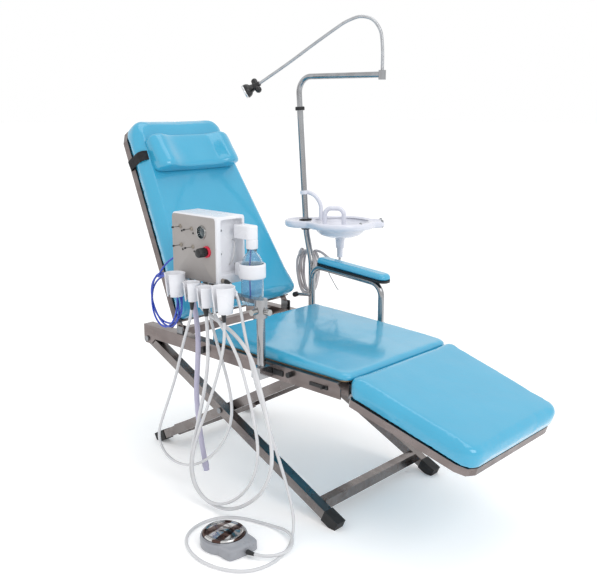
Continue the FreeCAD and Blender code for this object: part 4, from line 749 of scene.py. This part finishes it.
def hose_curve(name, route, radius, finish, body, replaces=()):
    """Make a hose as one NURBS curve whose control points are its route, with a round bevel."""
    points = (np.array(route, dtype=float) + CHAIR_ORIGIN) * MM
    curve = bpy.data.curves.new(name, "CURVE")
    curve.dimensions = "3D"
    curve.bevel_depth = radius * MM
    curve.bevel_resolution = 5
    curve.resolution_u = 8
    curve.use_fill_caps = True
    spline = curve.splines.new("NURBS")
    spline.points.add(len(points) - 1)
    spline.points.foreach_set("co", np.hstack([points, np.ones((len(points), 1))]).ravel())
    spline.order_u = 3
    spline.use_endpoint_u = True
    hose = bpy.data.objects.new(name, curve)
    settle(hose, body, finish, replaces)
    return hose, points


def sleeve(name, end, following, radius, body, finish, length=22):
    """Tapered strain relief on a hose's end: wide at the fitting, ribbed, thin where the hose comes out."""
    run = np.array(following, dtype=float) - np.array(end, dtype=float)
    grow = radius * 1.55
    profile = [(0, -1), (grow, -1), (grow * 1.02, 1.5), (grow, 4)]
    for step in range(5):
        base = 5 + step * (length - 7) / 5
        wide = grow - (grow - radius * 1.12) * (step + 0.5) / 5
        profile += [(wide, base), (wide, base + 1.6), (wide - 0.5, base + 2.1)]
    profile += [(radius * 1.1, length), (0, length)]
    return revolved(name, profile, end, run, body, finish, around=24)


class HosesOperator(bpy.types.Operator):
    """Free hoses of the delivery unit and of the foot control, with their strain reliefs."""

    bl_idname = "chair.hoses"
    bl_label = "Hoses"

    def execute(self, context):
        for node, (radius, length, finish, route) in HOSES.items():
            hose, points = hose_curve(node + "_line", route, radius, finish, "unit", (node,))
            reliefs = [sleeve(node + "_relief_a", route[0], route[1], radius, "unit", "black")]
            if node == "suction_hose":
                end = np.array(route[-1], dtype=float)
                run = end - np.array(route[-2], dtype=float)
                coupler = [(0, -6), (9.4, -6), (10.2, -2), (10.2, 16), (9, 18), (9, 26), (8.2, 28),
                           (5.5, 28), (5.5, 4), (0, 4)]
                reliefs.append(revolved("suction_tip_coupler", coupler, end, run, "unit", "suction", 28))
            else:
                reliefs.append(sleeve(node + "_relief_b", route[-1], route[-2], radius, "unit", "black"))
        return {"FINISHED"}


class HanksOperator(bpy.types.Operator):
    """Blue air supply hose and the cuspidor's drain hose, each hung up in a hank."""

    bl_idname = "chair.hanks"
    bl_label = "Hanks"

    def execute(self, context):
        route = coil_route([(-112, -286, 712), (-138, -290, 708), (-166, -296, 690), (-190, -299, 668)],
                           (-196, -299, 558), 74, 84, 3.5, 5.2, 7.0, start=-0.45)
        hose, points = hose_curve("air_supply_hose", route, 3, "blue_tube", "unit", ("air_hose_hank",))
        end = route[-1]
        profile = [(0, -4), (4.4, -4), (5.2, 0), (5.2, 8), (6.6, 9), (6.6, 19), (5, 20), (5, 24), (0, 24)]
        coupler = revolved("air_quick_coupler", profile, end, end - route[-2], "unit", "fitting", 24)
        self.declare(hose, points, 6, "connector", [coupler])

        lead = [(-33, 376, 629), (-35, 378, 610), (-58, 380, 602), (-92, 378, 618), (-126, 374, 638)]
        route = coil_route(lead, (-165, 370, 560), 40, 78, 4.9, -8.6, 5.0, start=0.2)
        hose, points = hose_curve("cuspidor_drain_hose", route, 4.6, "drain", "cuspidor",
                                  ("drain_hose_hank",))
        end = route[-1]
        profile = [(0, -6), (7.2, -6), (7.6, -2), (7.6, 14), (6.4, 16), (4.4, 16), (4.4, 2), (0, 2)]
        tip = revolved("drain_hose_end", profile, end, end - route[-2], "cuspidor", "drain", 24)
        self.declare(hose, points, 9.2, "fitting", [tip])
        return {"FINISHED"}

    def declare(self, hose, points, diameter, far_end, pieces):
        """Do nothing with a hank: no cord is declared for it."""


# ---------------------------------------------------------------- delivery unit

TOGGLES = ((-68, 814), (-15, 812), (-66, 758), (-11, 758))
GAUGE = (31, -320, 806)
REGULATOR = (54, -320, 751)
# the fascia's plane, across the chair
FASCIA_Y = -321


class UnitOperator(bpy.types.Operator):
    """Moulded housing with its recess, fascia, toggle levers, gauge and regulator."""

    bl_idname = "chair.unit"
    bl_label = "Delivery unit"

    def execute(self, context):
        left, right = -112, 98
        outline = rectangle(-320, -212, 655, 855, 9, 120)
        mouth = rectangle(-305, -221, 684, 845, 6, 120)
        turn = np.linspace(0, math.pi / 2, 7)
        rings = [facing_foot(inset(outline, 9 * (1 - math.sin(a))), left + 9 * (1 - math.cos(a)))
                 for a in turn]
        rings += [facing_foot(inset(outline, 2.5 * (1 - math.sin(a))), right - 2.5 * (1 - math.cos(a)))
                  for a in turn[::-1]]
        rings += [facing_foot(inset(mouth, 2 * math.sin(a) - 2), right - 2 * (1 - math.cos(a))) for a in turn]
        rings += [facing_foot(mouth, right - 14), facing_foot(inset(mouth, 1), right - 20.5),
                  facing_foot(inset(mouth, 4), right - 22)]
        lofted("unit_shell", rings, "unit", "white_abs", ("unit_housing",))
        fascia = rectangle(left + 4, right - 9, 659, 851, 8)
        rings = [facing_near(fascia, FASCIA_Y + 3), facing_near(fascia, FASCIA_Y),
                 facing_near(inset(fascia, 0.6), FASCIA_Y - 0.6)]
        lofted("control_fascia", rings, "unit", "panel", ("unit_panel",))
        bushing = [(0, 0), (6.4, 0), (6.6, 1), (6, 2.2), (4.6, 2.4), (4.4, 5), (3.6, 5.6), (0, 5.6)]
        lever = [(0, 0), (2.4, 1), (2.2, 4), (1.5, 8), (1.35, 22), (1.8, 26), (2.1, 30), (1.6, 32),
                 (0, 32.3)]
        tip = [(0, 26.6), (2, 26.6), (3, 28), (3, 31.6), (2, 33), (0, 33.2)]
        outlet = [(0, 0), (3.1, 0), (3.1, 1.6), (2.4, 2.4), (1.2, 2.4), (1.2, 0.8), (0, 0.8)]
        for number, (x, z) in enumerate(TOGGLES, start=1):
            foot = (x, FASCIA_Y, z)
            body = f"toggle_{number}"
            revolved(f"toggle_bushing_{number}", bushing, foot, NEAR, "unit", "fitting", 36)
            revolved(f"{body}_lever", lever, foot, NEAR, body, "stainless", 20,
                     replaces=(f"toggle_lever_{number}",))
            revolved(f"{body}_tip", tip, foot, NEAR, body, "black", 20)
            revolved(f"valve_outlet_{number}", outlet, (x + 7, FASCIA_Y, z - 13), NEAR, "unit", "black", 24)
        revolved("gauge_bezel", [(18, 0), (20.6, 0), (21, 2), (20.6, 5.2), (19.6, 6.2), (18.4, 5.6),
                                 (18, 3)], GAUGE, NEAR, "unit", "stainless", 64, loop=True,
                 replaces=("pressure_gauge",))
        revolved("gauge_dial", [(0, -1.5), (18.4, -1.5), (18.4, 2.4), (0, 2.6)], GAUGE, NEAR, "unit",
                 "dial", 48)
        marks = np.radians(np.arange(-135, 136, 27))
        for number, a in enumerate(marks):
            foot = (GAUGE[0] + 14.5 * math.sin(a), GAUGE[1] - 2.3, GAUGE[2] + 14.5 * math.cos(a))
            revolved(f"dial_mark_{number}", [(0, 0), (0.7, 0), (0.7, 0.3), (0, 0.3)], foot, NEAR, "unit",
                     "needle", 12)
        collar = [(0, 0.4), (16.6, 0.4), (17.2, 2), (17.0, 6.4), (15.8, 8), (12, 8.2), (0, 8.2)]
        revolved("regulator_collar", collar, REGULATOR, NEAR, "regulator", "red", 48)
        grip = [(0, 8), (12.2, 8), (12.6, 9.4), (12.8, 12), (12.6, 24), (12.1, 36), (11.2, 38.5),
                (9.2, 39.8), (0, 40)]
        revolved("regulator_grip", grip, REGULATOR, NEAR, "regulator", "black", 120, (20, 1.4, 3, 6),
                 replaces=("regulator_knob",))
        return {"FINISHED"}


# instrument cups from the head end: place along the chair, size beside the second one, and foot height
CUPS = ((-48, 1.25, 610), (30, 1.0, 608), (92, 1.05, 600), (170, 1.35, 596))
CUP_Y = -364


def open_cup(name, x, scale, low, finish):
    """Tapered instrument cup with a slot towards the user.

    A closed section, from the outer foot over the rounded lip to the inner foot, turns about the cup's axis
    from one side of the slot to the other, and each end is closed."""
    radius, height = 25 * scale, 56 * scale
    section = np.array([(radius * 0.8, 0), (radius * 0.86, height * 0.3), (radius * 0.95, height * 0.7),
                        (radius, height - 2), (radius + 1, height - 0.4), (radius, height + 0.6),
                        (radius - 2.4, height + 0.4), (radius - 3.6, height - 1.5),
                        (radius * 0.95 - 3.6, height * 0.7), (radius * 0.86 - 3.6, height * 0.3),
                        (radius * 0.8 - 3.4, 0.6), (radius * 0.8 - 1.6, -0.6)])
    slot = 0.34 / scale
    angle = np.linspace(-math.pi / 2 + slot, 1.5 * math.pi - slot, 56)
    direction = np.stack([np.cos(angle), np.sin(angle), np.zeros(56)], axis=1)
    points = direction[:, None] * section[None, :, :1] + np.array([0, 0, 1.0]) * section[None, :, 1:]
    points += np.array([x, CUP_Y, low], dtype=float)
    return lofted(name, points, "unit", finish)


class HoldersOperator(bpy.types.Operator):
    """Instrument cups, and the water bottle with its cap block and dip tube."""

    bl_idname = "chair.holders"
    bl_label = "Holders and bottle"

    def execute(self, context):
        for number, (x, scale, low) in enumerate(CUPS):
            open_cup(f"instrument_cup_{number}", x, scale, low, "white_abs")
            web = rectangle(x - 8, x + 8, CUP_Y + 21 * scale, -329, 2, 40)
            lofted(f"cup_web_{number}", block_rings(web, 641, 653, 1.5, upright), "unit", "white_abs")
        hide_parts("holder_cups")

        x, y = 154, -236
        bottle = [(0, 597.5), (14, 597), (27, 597.4), (31.5, 600), (33, 605), (33, 690), (32.6, 704),
                  (30.6, 720), (26, 735), (19, 745), (14, 750), (13.6, 766), (12.4, 766), (12.6, 750),
                  (18, 743.4), (25, 734), (29.4, 719.6), (31.4, 704), (31.8, 690), (31.8, 605),
                  (30.4, 601.4), (26.6, 598.8), (14, 598.6), (0, 599)]
        revolved("blown_water_bottle", bottle, (x, y, 0), UP, "unit", "clear", 64,
                 replaces=("water_bottle",))
        arm = rounded_outline([(96, -255), (170, -255), (170, -217), (96, -217)], [2, 18.5, 18.5, 2])
        arm = resampled(arm, 120)
        cap = lofted("bottle_cap_bracket", block_rings(arm, 789, 829, 3, upright), "unit", "white_abs")
        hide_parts("bottle_cap")
        neck = [(0, 762), (16.5, 762), (17, 764), (17, 786), (16, 790), (0, 790)]
        revolved("bottle_neck_ring", neck, (x, y, 0), UP, "unit", "white_abs", 72, (36, 0.7, 2, 4))
        tube = arc_route([(x - 4, y, 788), (x - 6, y, 740), (x - 8, y - 4, 700), (x - 5, y - 3, 612)], 0.4)
        lofted("bottle_dip_tube", tube_rings(evenly(tube, 6), 2.6, 14), "unit", "blue_tube")
        ring = [(34.6, 676), (37, 675.4), (39.4, 676.6), (40, 680), (40, 713), (39.2, 717), (37, 718.4),
                (34.8, 717.4), (34.4, 714), (34.4, 680)]
        revolved("bottle_holder_ring", ring, (x, y, 0), UP, "unit", "white_abs", 72, loop=True,
                 replaces=("bottle_ring",))
        stay = rectangle(97, 121, -254, -218, 4, 60)
        lofted("bottle_ring_stay", block_rings(stay, 677, 717, 3, upright), "unit", "white_abs")
        feed = [(76, -240, 780), (86, -242, 776), (92, -250, 752), (90, -254, 722), (76, -256, 706)]
        feed = arc_route(feed, 0.4)
        lofted("recess_feed_tube", tube_rings(evenly(feed, 5), 2.4, 14), "unit", "silicone")
        for number, (place_y, place_z) in enumerate(((-286, 812), (-288, 742), (-232, 706))):
            revolved(f"recess_screw_{number}", [(0, 0), (3.4, 0), (3.2, 1.4), (2, 2), (0, 2)],
                     (76, place_y, place_z), (1, 0, 0), "unit", "zinc", 20)
        return {"FINISHED"}


# ---------------------------------------------------------------- cuspidor

POLE_AT_TRAY = (-151.4, 320.0)
BOWL = (-33.0, 376.0)
# the tray's tail points this far round from the foot end
TRAY_TURN = math.radians(43.7)


def tray_reach(angle):
    """How far the tray's edge stands from the bowl's middle at each angle.

    It is the furthest of the bowl's rim, the ear round the pole and the tail, smoothed round the turn."""
    direction = np.stack([np.cos(angle), np.sin(angle)], axis=1)
    reach = np.full(len(angle), 126.0)
    ear = np.array([POLE_AT_TRAY[0] - 2, POLE_AT_TRAY[1] - 26]) - BOWL
    along = direction @ ear
    ear_radius = 58.0
    inside = ear_radius ** 2 - (ear @ ear - along ** 2)
    hit = (inside > 0) & (along > 0)
    reach[hit] = np.maximum(reach[hit], along[hit] + np.sqrt(inside[hit]))
    forward = direction @ np.array([math.cos(TRAY_TURN), math.sin(TRAY_TURN)])
    sideways = direction @ np.array([-math.sin(TRAY_TURN), math.cos(TRAY_TURN)])
    box = np.minimum(158 / np.maximum(forward, 1e-6), 34 / np.maximum(np.abs(sideways), 1e-6))
    reach = np.where(forward > 0, np.maximum(reach, box), reach)
    kernel = np.exp(-np.linspace(-2.4, 2.4, 15) ** 2)
    kernel /= kernel.sum()
    return np.convolve(np.concatenate([reach[-7:], reach, reach[:7]]), kernel, "valid")


class CuspidorOperator(bpy.types.Operator):
    """Tray with its ear, rounded rim, stepped bowl and drain spigot, grommet and lugs."""

    bl_idname = "chair.cuspidor"
    bl_label = "Cuspidor"

    def execute(self, context):
        angle = np.linspace(0, 2 * math.pi, 240, endpoint=False)
        direction = np.stack([np.cos(angle), np.sin(angle), np.zeros(240)], axis=1)
        reach = tray_reach(angle)
        # (share of the tray's own outline, radius or how far inside that outline, height)
        rings = [(0, 9.6, 628), (0, 10.4, 631), (0, 10.8, 660), (0, 15, 663), (0, 16.4, 690), (0, 20, 700),
                 (0, 34, 702), (0, 56, 706), (0, 73, 713), (0, 84, 722), (0, 88, 730), (0, 96, 732),
                 (0, 100, 735), (0, 101, 738),
                 (1, 14, 738), (1, 7, 739), (1, 2, 743), (1, 0, 750), (1, 1.2, 758), (1, 5, 762.4),
                 (1, 10, 763.6), (1, 14.5, 762), (1, 17, 758.6), (0.85, 12, 757.2), (0, 109, 757.4),
                 (0, 106, 755), (0, 103, 749), (0, 98, 745), (0, 90, 743), (0, 86, 739), (0, 66, 724),
                 (0, 40, 708), (0, 20, 697), (0, 12, 694.4), (0, 8, 693), (0, 7, 686)]
        rows = []
        for share, number, height in rings:
            edge = reach - number if share else np.full(240, number)
            if 0 < share < 1:
                edge = share * (reach - 24) + (1 - share) * 109
            rows.append(np.array([*BOWL, height]) + direction * edge[:, None])
        lofted("spittoon_tray", rows, "cuspidor", "tray", ("cuspidor_tray",))
        revolved("pole_grommet", [(11.3, 0), (22, 0), (23.4, 1.6), (22, 4.4), (14, 5.6), (11.3, 4)],
                 (*POLE_AT_TRAY, 757), POLE_AXIS, "cuspidor", "rubber", 40, loop=True)
        revolved("pole_clamp_collar", [(11.3, 0), (16.5, 0), (17, 2), (17, 17), (16, 19), (11.3, 19)],
                 (POLE_AT_TRAY[0] + 1.9, POLE_AT_TRAY[1], 724), POLE_AXIS, "cuspidor", "black", 40,
                 loop=True)
        revolved("spout_clip", [(11.3, 0), (14.6, 0), (15.2, 1.5), (15.2, 12.5), (14.6, 14), (11.3, 14)],
                 (-158.1, 320, 851), POLE_AXIS, "cuspidor", "tray", 36, loop=True)
        cosine, sine = math.cos(TRAY_TURN), math.sin(TRAY_TURN)
        for number, (ahead, aside) in enumerate(((66, -96), (148, -24), (148, 24))):
            foot = (BOWL[0] + ahead * cosine - aside * sine, BOWL[1] + ahead * sine + aside * cosine, 748)
            revolved(f"tray_lug_{number}", [(0, -8), (4, -8), (5, -5), (5, 16), (3.4, 19), (0, 19.4)], foot,
                     UP, "cuspidor", "zinc", 24)
        revolved("strainer", [(0, 0), (11, 0), (12.4, 0.8), (12, 1.8), (9, 1.4), (0, 1.2)],
                 (*BOWL, 695.5), UP, "cuspidor", "stainless", 36)
        return {"FINISHED"}


# ---------------------------------------------------------------- lamp and foot control

class LampOperator(bpy.types.Operator):
    """Ribbed gooseneck, and the small lamp on its knuckle."""

    bl_idname = "chair.lamp"
    bl_label = "Lamp"

    def execute(self, context):
        start = np.array([185.0, 320.0])
        head = np.array([-216.0, 157.0, 1240.0])
        ahead = (head[:2] - start) / np.linalg.norm(head[:2] - start)
        heights = ((0, 1340), (6, 1400), (34, 1438), (78, 1448), (128, 1431), (225, 1371), (330, 1302))
        corners = [(*start, 1278.3)] + [(*(start + ahead * run), z) for run, z in heights] + [tuple(head)]
        line = evenly(arc_route(corners), 1.0)
        ripple = 5.3 + 0.42 * np.sin(np.arange(len(line)) * 2 * math.pi / 4.0)
        lofted("flexible_gooseneck", tube_rings(line, ripple, 18), "gooseneck_body", "gooseneck",
               ("lamp_gooseneck",))
        revolved("arm_seal_ring", [(15.1, 0), (16.2, 0.4), (16.6, 2), (16.6, 10), (16.2, 11.6), (15.1, 12)],
                 (-180.1, 320, 1148.6), POLE_AXIS, "lamp_arm_body", "rubber", 40, loop=True)
        drop = head - line[-40]
        drop /= np.linalg.norm(drop)
        joint = head + drop * 15
        aim = np.array([-0.62, -0.62, -0.48])
        aim /= np.linalg.norm(aim)
        side = np.cross(aim, (0, 0, 1))
        side /= np.linalg.norm(side)
        body = "lamp_head_body"
        revolved("lamp_knuckle", [(0, -15), (7.4, -15), (8.6, -12), (9, -4), (12.4, 0), (14.4, 6), (13, 12),
                                  (8, 15.4), (0, 16)], joint, drop, body, "black", 32)
        wing = [(0, -31), (7, -30.4), (10.4, -26), (11, -19), (8.4, -10), (7, 0), (8.4, 10), (11, 19),
                (10.4, 26), (7, 30.4), (0, 31)]
        revolved("lamp_wing_knob", wing, joint, side * 0.7 + np.cross(side, aim) * 0.7, body, "black", 28)
        shade = [(0, 8), (9, 9), (12, 14), (14, 21), (19, 25), (22.4, 31), (23.6, 38), (23.6, 45), (22.4, 47),
                 (21, 47), (20.2, 44), (18, 35), (12, 27), (5, 25), (0, 24.6)]
        revolved("lamp_shade_cup", shade, joint, aim, body, "black", 48, replaces=("lamp_head",))
        bowl = [(0, 26), (6, 26.6), (13, 29.6), (18, 36), (20.4, 44), (21.2, 47.6), (23, 48), (23.8, 46.6),
                (23.8, 41.6), (22.2, 41.2), (21.6, 45), (19.4, 38.6), (13.6, 28.8), (6.4, 25.8), (0, 25.2)]
        revolved("lamp_reflector", bowl, joint, aim, body, "reflector", 48)
        led = [(0, 26), (4, 26.6), (4.6, 29.4), (3.2, 32.2), (0, 33)]
        revolved("lamp_led", led, joint, aim, body, "needle", 24)
        return {"FINISHED"}


class PedalOperator(bpy.types.Operator):
    """Foot control: low enamelled base with a tail, and the dished steel tread that presses down."""

    bl_idname = "chair.pedal"
    bl_label = "Foot control"

    def execute(self, context):
        x, y, turn = 322.0, -511.0, math.radians(-4)
        angle = np.linspace(0, 2 * math.pi, 260, endpoint=False)
        ahead = np.cos(angle)
        side = np.sin(angle)
        box = np.minimum(96 / np.maximum(ahead, 1e-6), 52 / np.maximum(np.abs(side), 1e-6))
        corner = (box ** -9 + (np.full(260, 104.0)) ** -9) ** (-1 / 9)
        reach = np.where(ahead > 0, np.maximum(66, np.minimum(box, corner)), 66)
        kernel = np.ones(5) / 5
        reach = np.convolve(np.concatenate([reach[-2:], reach, reach[:2]]), kernel, "valid")
        direction = np.stack([np.cos(angle + turn), np.sin(angle + turn)], axis=1)
        base = np.array([x, y]) + direction * reach[:, None]
        rings = [upright(inset(base, 2), 0.2), upright(base, 2.5), upright(base, 20)]
        for a in np.linspace(0, math.pi / 2, 7)[1:]:
            rings.append(upright(inset(base, 8 * (1 - math.cos(a))), 22 + 8 * math.sin(a)))
        # the well that the tread goes down into: radius and height of each ring
        for radius, height in ((63, 31), (61.5, 33), (60.2, 32), (60, 14)):
            rings.append(upright(np.array([x, y]) + direction * radius, height))
        lofted("pedal_body", rings, "seat_frame", "pedal", ("pedal_base",))
        tread = [(0, 28), (57, 28), (58.6, 29), (59, 33), (58.4, 36.4), (56, 38.2), (52, 37.8), (49, 36),
                 (44, 36.4), (34, 39), (22, 41.4), (10, 42.8), (0, 43.2)]
        revolved("dished_tread", tread, (x, y, 0), UP, "pedal", "tread", 96, replaces=("pedal_disc",))
        return {"FINISHED"}


class DetailsOperator(bpy.types.Operator):
    """Armrest release wire and the bolt that links the armrest's rear post to the recline hinge."""

    bl_idname = "chair.details"
    bl_label = "Details"

    def execute(self, context):
        wire = arc_route([(10, 262, 608), (16, 262, 590), (46, 262, 552), (60, 262, 538)], 0.4)
        lofted("armrest_release_wire", tube_rings(evenly(wire, 4), 1.3, 12), "armrest", "zinc")
        revolved("recline_link_rod", [(0, 0), (5.4, 0), (6, 2), (6, 60), (5, 62), (0, 62)], (-74, 262, 500),
                 (-1, -0.1, -0.1), "seat_frame", "plated", 24)
        revolved("recline_link_bolt", [(0, -9), (8.5, -9), (9.5, -7), (9.5, 7), (8.5, 9), (0, 9)],
                 (-138, 254, 493), (0, 1, 0), "seat_frame", "black", 30)
        return {"FINISHED"}


# ---------------------------------------------------------------- finishes of the frame

class FinishesOperator(bpy.types.Operator):
    """Give every carried-over node its material."""

    bl_idname = "chair.finishes"
    bl_label = "Finishes"

    def execute(self, context):
        for node, finish in FINISH_OF_NODE.items():
            mesh = NODES[node].data
            mesh.materials.clear()
            mesh.materials.append(finish_named(finish))
        return {"FINISHED"}


# ---------------------------------------------------------------- stage

# name, place, width and height, power in watts, and the place that it is aimed at, in metres
LAMPS = (
    ("key_softbox", (2.8, -0.5, 2.6), (1.6, 1.6), 26.0, (0.0, 0.0, 0.5)),
    ("fill_softbox", (-2.8, -1.4, 2.2), (1.8, 1.8), 2.0, (0.0, 0.0, 0.5)),
    ("overhead_bank", (0.3, 0.6, 3.6), (2.6, 1.4), 14.0, (0.2, 0.0, 0.4)),
)


class StageOperator(bpy.types.Operator):
    """Pale floor, soft studio light and the camera."""

    bl_idname = "chair.stage"
    bl_label = "Stage"

    def execute(self, context):
        settings = context.scene.chair_stage
        mesh = bpy.data.meshes.new("studio_floor")
        reach = 40.0
        mesh.from_pydata([(-reach, -reach, 0), (reach, -reach, 0), (reach, reach, 0), (-reach, reach, 0)], [],
                         [(0, 1, 2, 3)])
        floor = bpy.data.objects.new("studio_floor", mesh)
        context.scene.collection.objects.link(floor)
        mesh.materials.append(surface("matt_studio_floor", settings.floor, "#FAFBFC", 0.5, 0.01, 0.0,
                                      (0.8, 0.9), Emission_Color=(1, 1, 1, 1), Emission_Strength=0.13))
        camera_data = bpy.data.cameras.new("studio_camera")
        camera_data.lens = settings.lens
        camera_data.shift_x = 0.0042
        camera_data.shift_y = -0.0104
        camera = bpy.data.objects.new("studio_camera", camera_data)
        target = Vector(place(105.8, 0, 601.2))
        away = Vector((math.cos(settings.elevation) * math.sin(settings.azimuth),
                       -math.cos(settings.elevation) * math.cos(settings.azimuth),
                       math.sin(settings.elevation)))
        camera.location = target + away * settings.distance
        camera.rotation_euler = (-away).to_track_quat("-Z", "Y").to_euler()
        context.scene.collection.objects.link(camera)
        context.scene.camera = camera
        for name, position, size, power, aim in LAMPS:
            light_data = bpy.data.lights.new(name, "AREA")
            light_data.shape = "RECTANGLE"
            light_data.size = size[0]
            light_data.size_y = size[1]
            light_data.energy = power
            light = bpy.data.objects.new(name, light_data)
            light.location = position
            light.rotation_euler = (Vector(aim) - Vector(position)).to_track_quat("-Z", "Y").to_euler()
            context.scene.collection.objects.link(light)
        world = bpy.data.worlds.new("studio_world")
        world.use_nodes = True
        world.node_tree.nodes["Background"].inputs["Color"].default_value = linear("#FFFFFF")
        world.node_tree.nodes["Background"].inputs["Strength"].default_value = 1.0
        context.scene.world = world
        context.scene.view_settings.view_transform = "Standard"
        return {"FINISHED"}


class ChairPanel(bpy.types.Panel):
    """Lists the chair's operators and settings."""

    bl_idname = "VIEW3D_PT_dental_chair"
    bl_label = "Dental Chair"
    bl_space_type = "VIEW_3D"
    bl_region_type = "UI"
    bl_category = "Dental Chair"

    def draw(self, context):
        for operator in OPERATORS:
            self.layout.operator(operator.bl_idname)
        for group in (context.scene.chair_upholstery, context.scene.chair_stage):
            for key in group.__annotations__:
                self.layout.prop(group, key)


OPERATORS = (StageOperator, FinishesOperator, CushionsOperator, HeadrestOperator, HosesOperator,
             HanksOperator, UnitOperator, HoldersOperator, CuspidorOperator, LampOperator, PedalOperator,
             DetailsOperator)
CLASSES = (UpholsterySettings, StageSettings, *OPERATORS, ChairPanel)


def register():
    """Register the classes and hang the settings on the scene."""
    for item in CLASSES:
        bpy.utils.register_class(item)
    bpy.types.Scene.chair_upholstery = PointerProperty(type=UpholsterySettings)
    bpy.types.Scene.chair_stage = PointerProperty(type=StageSettings)


def unregister():
    """Take the settings and the classes away again."""
    del bpy.types.Scene.chair_stage
    del bpy.types.Scene.chair_upholstery
    for item in reversed(CLASSES):
        bpy.utils.unregister_class(item)


def main():
    """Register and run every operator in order."""
    register()
    for operator in OPERATORS:
        group, name = operator.bl_idname.split(".")
        getattr(getattr(bpy.ops, group), name)()


if __name__ == "__main__":
    main()
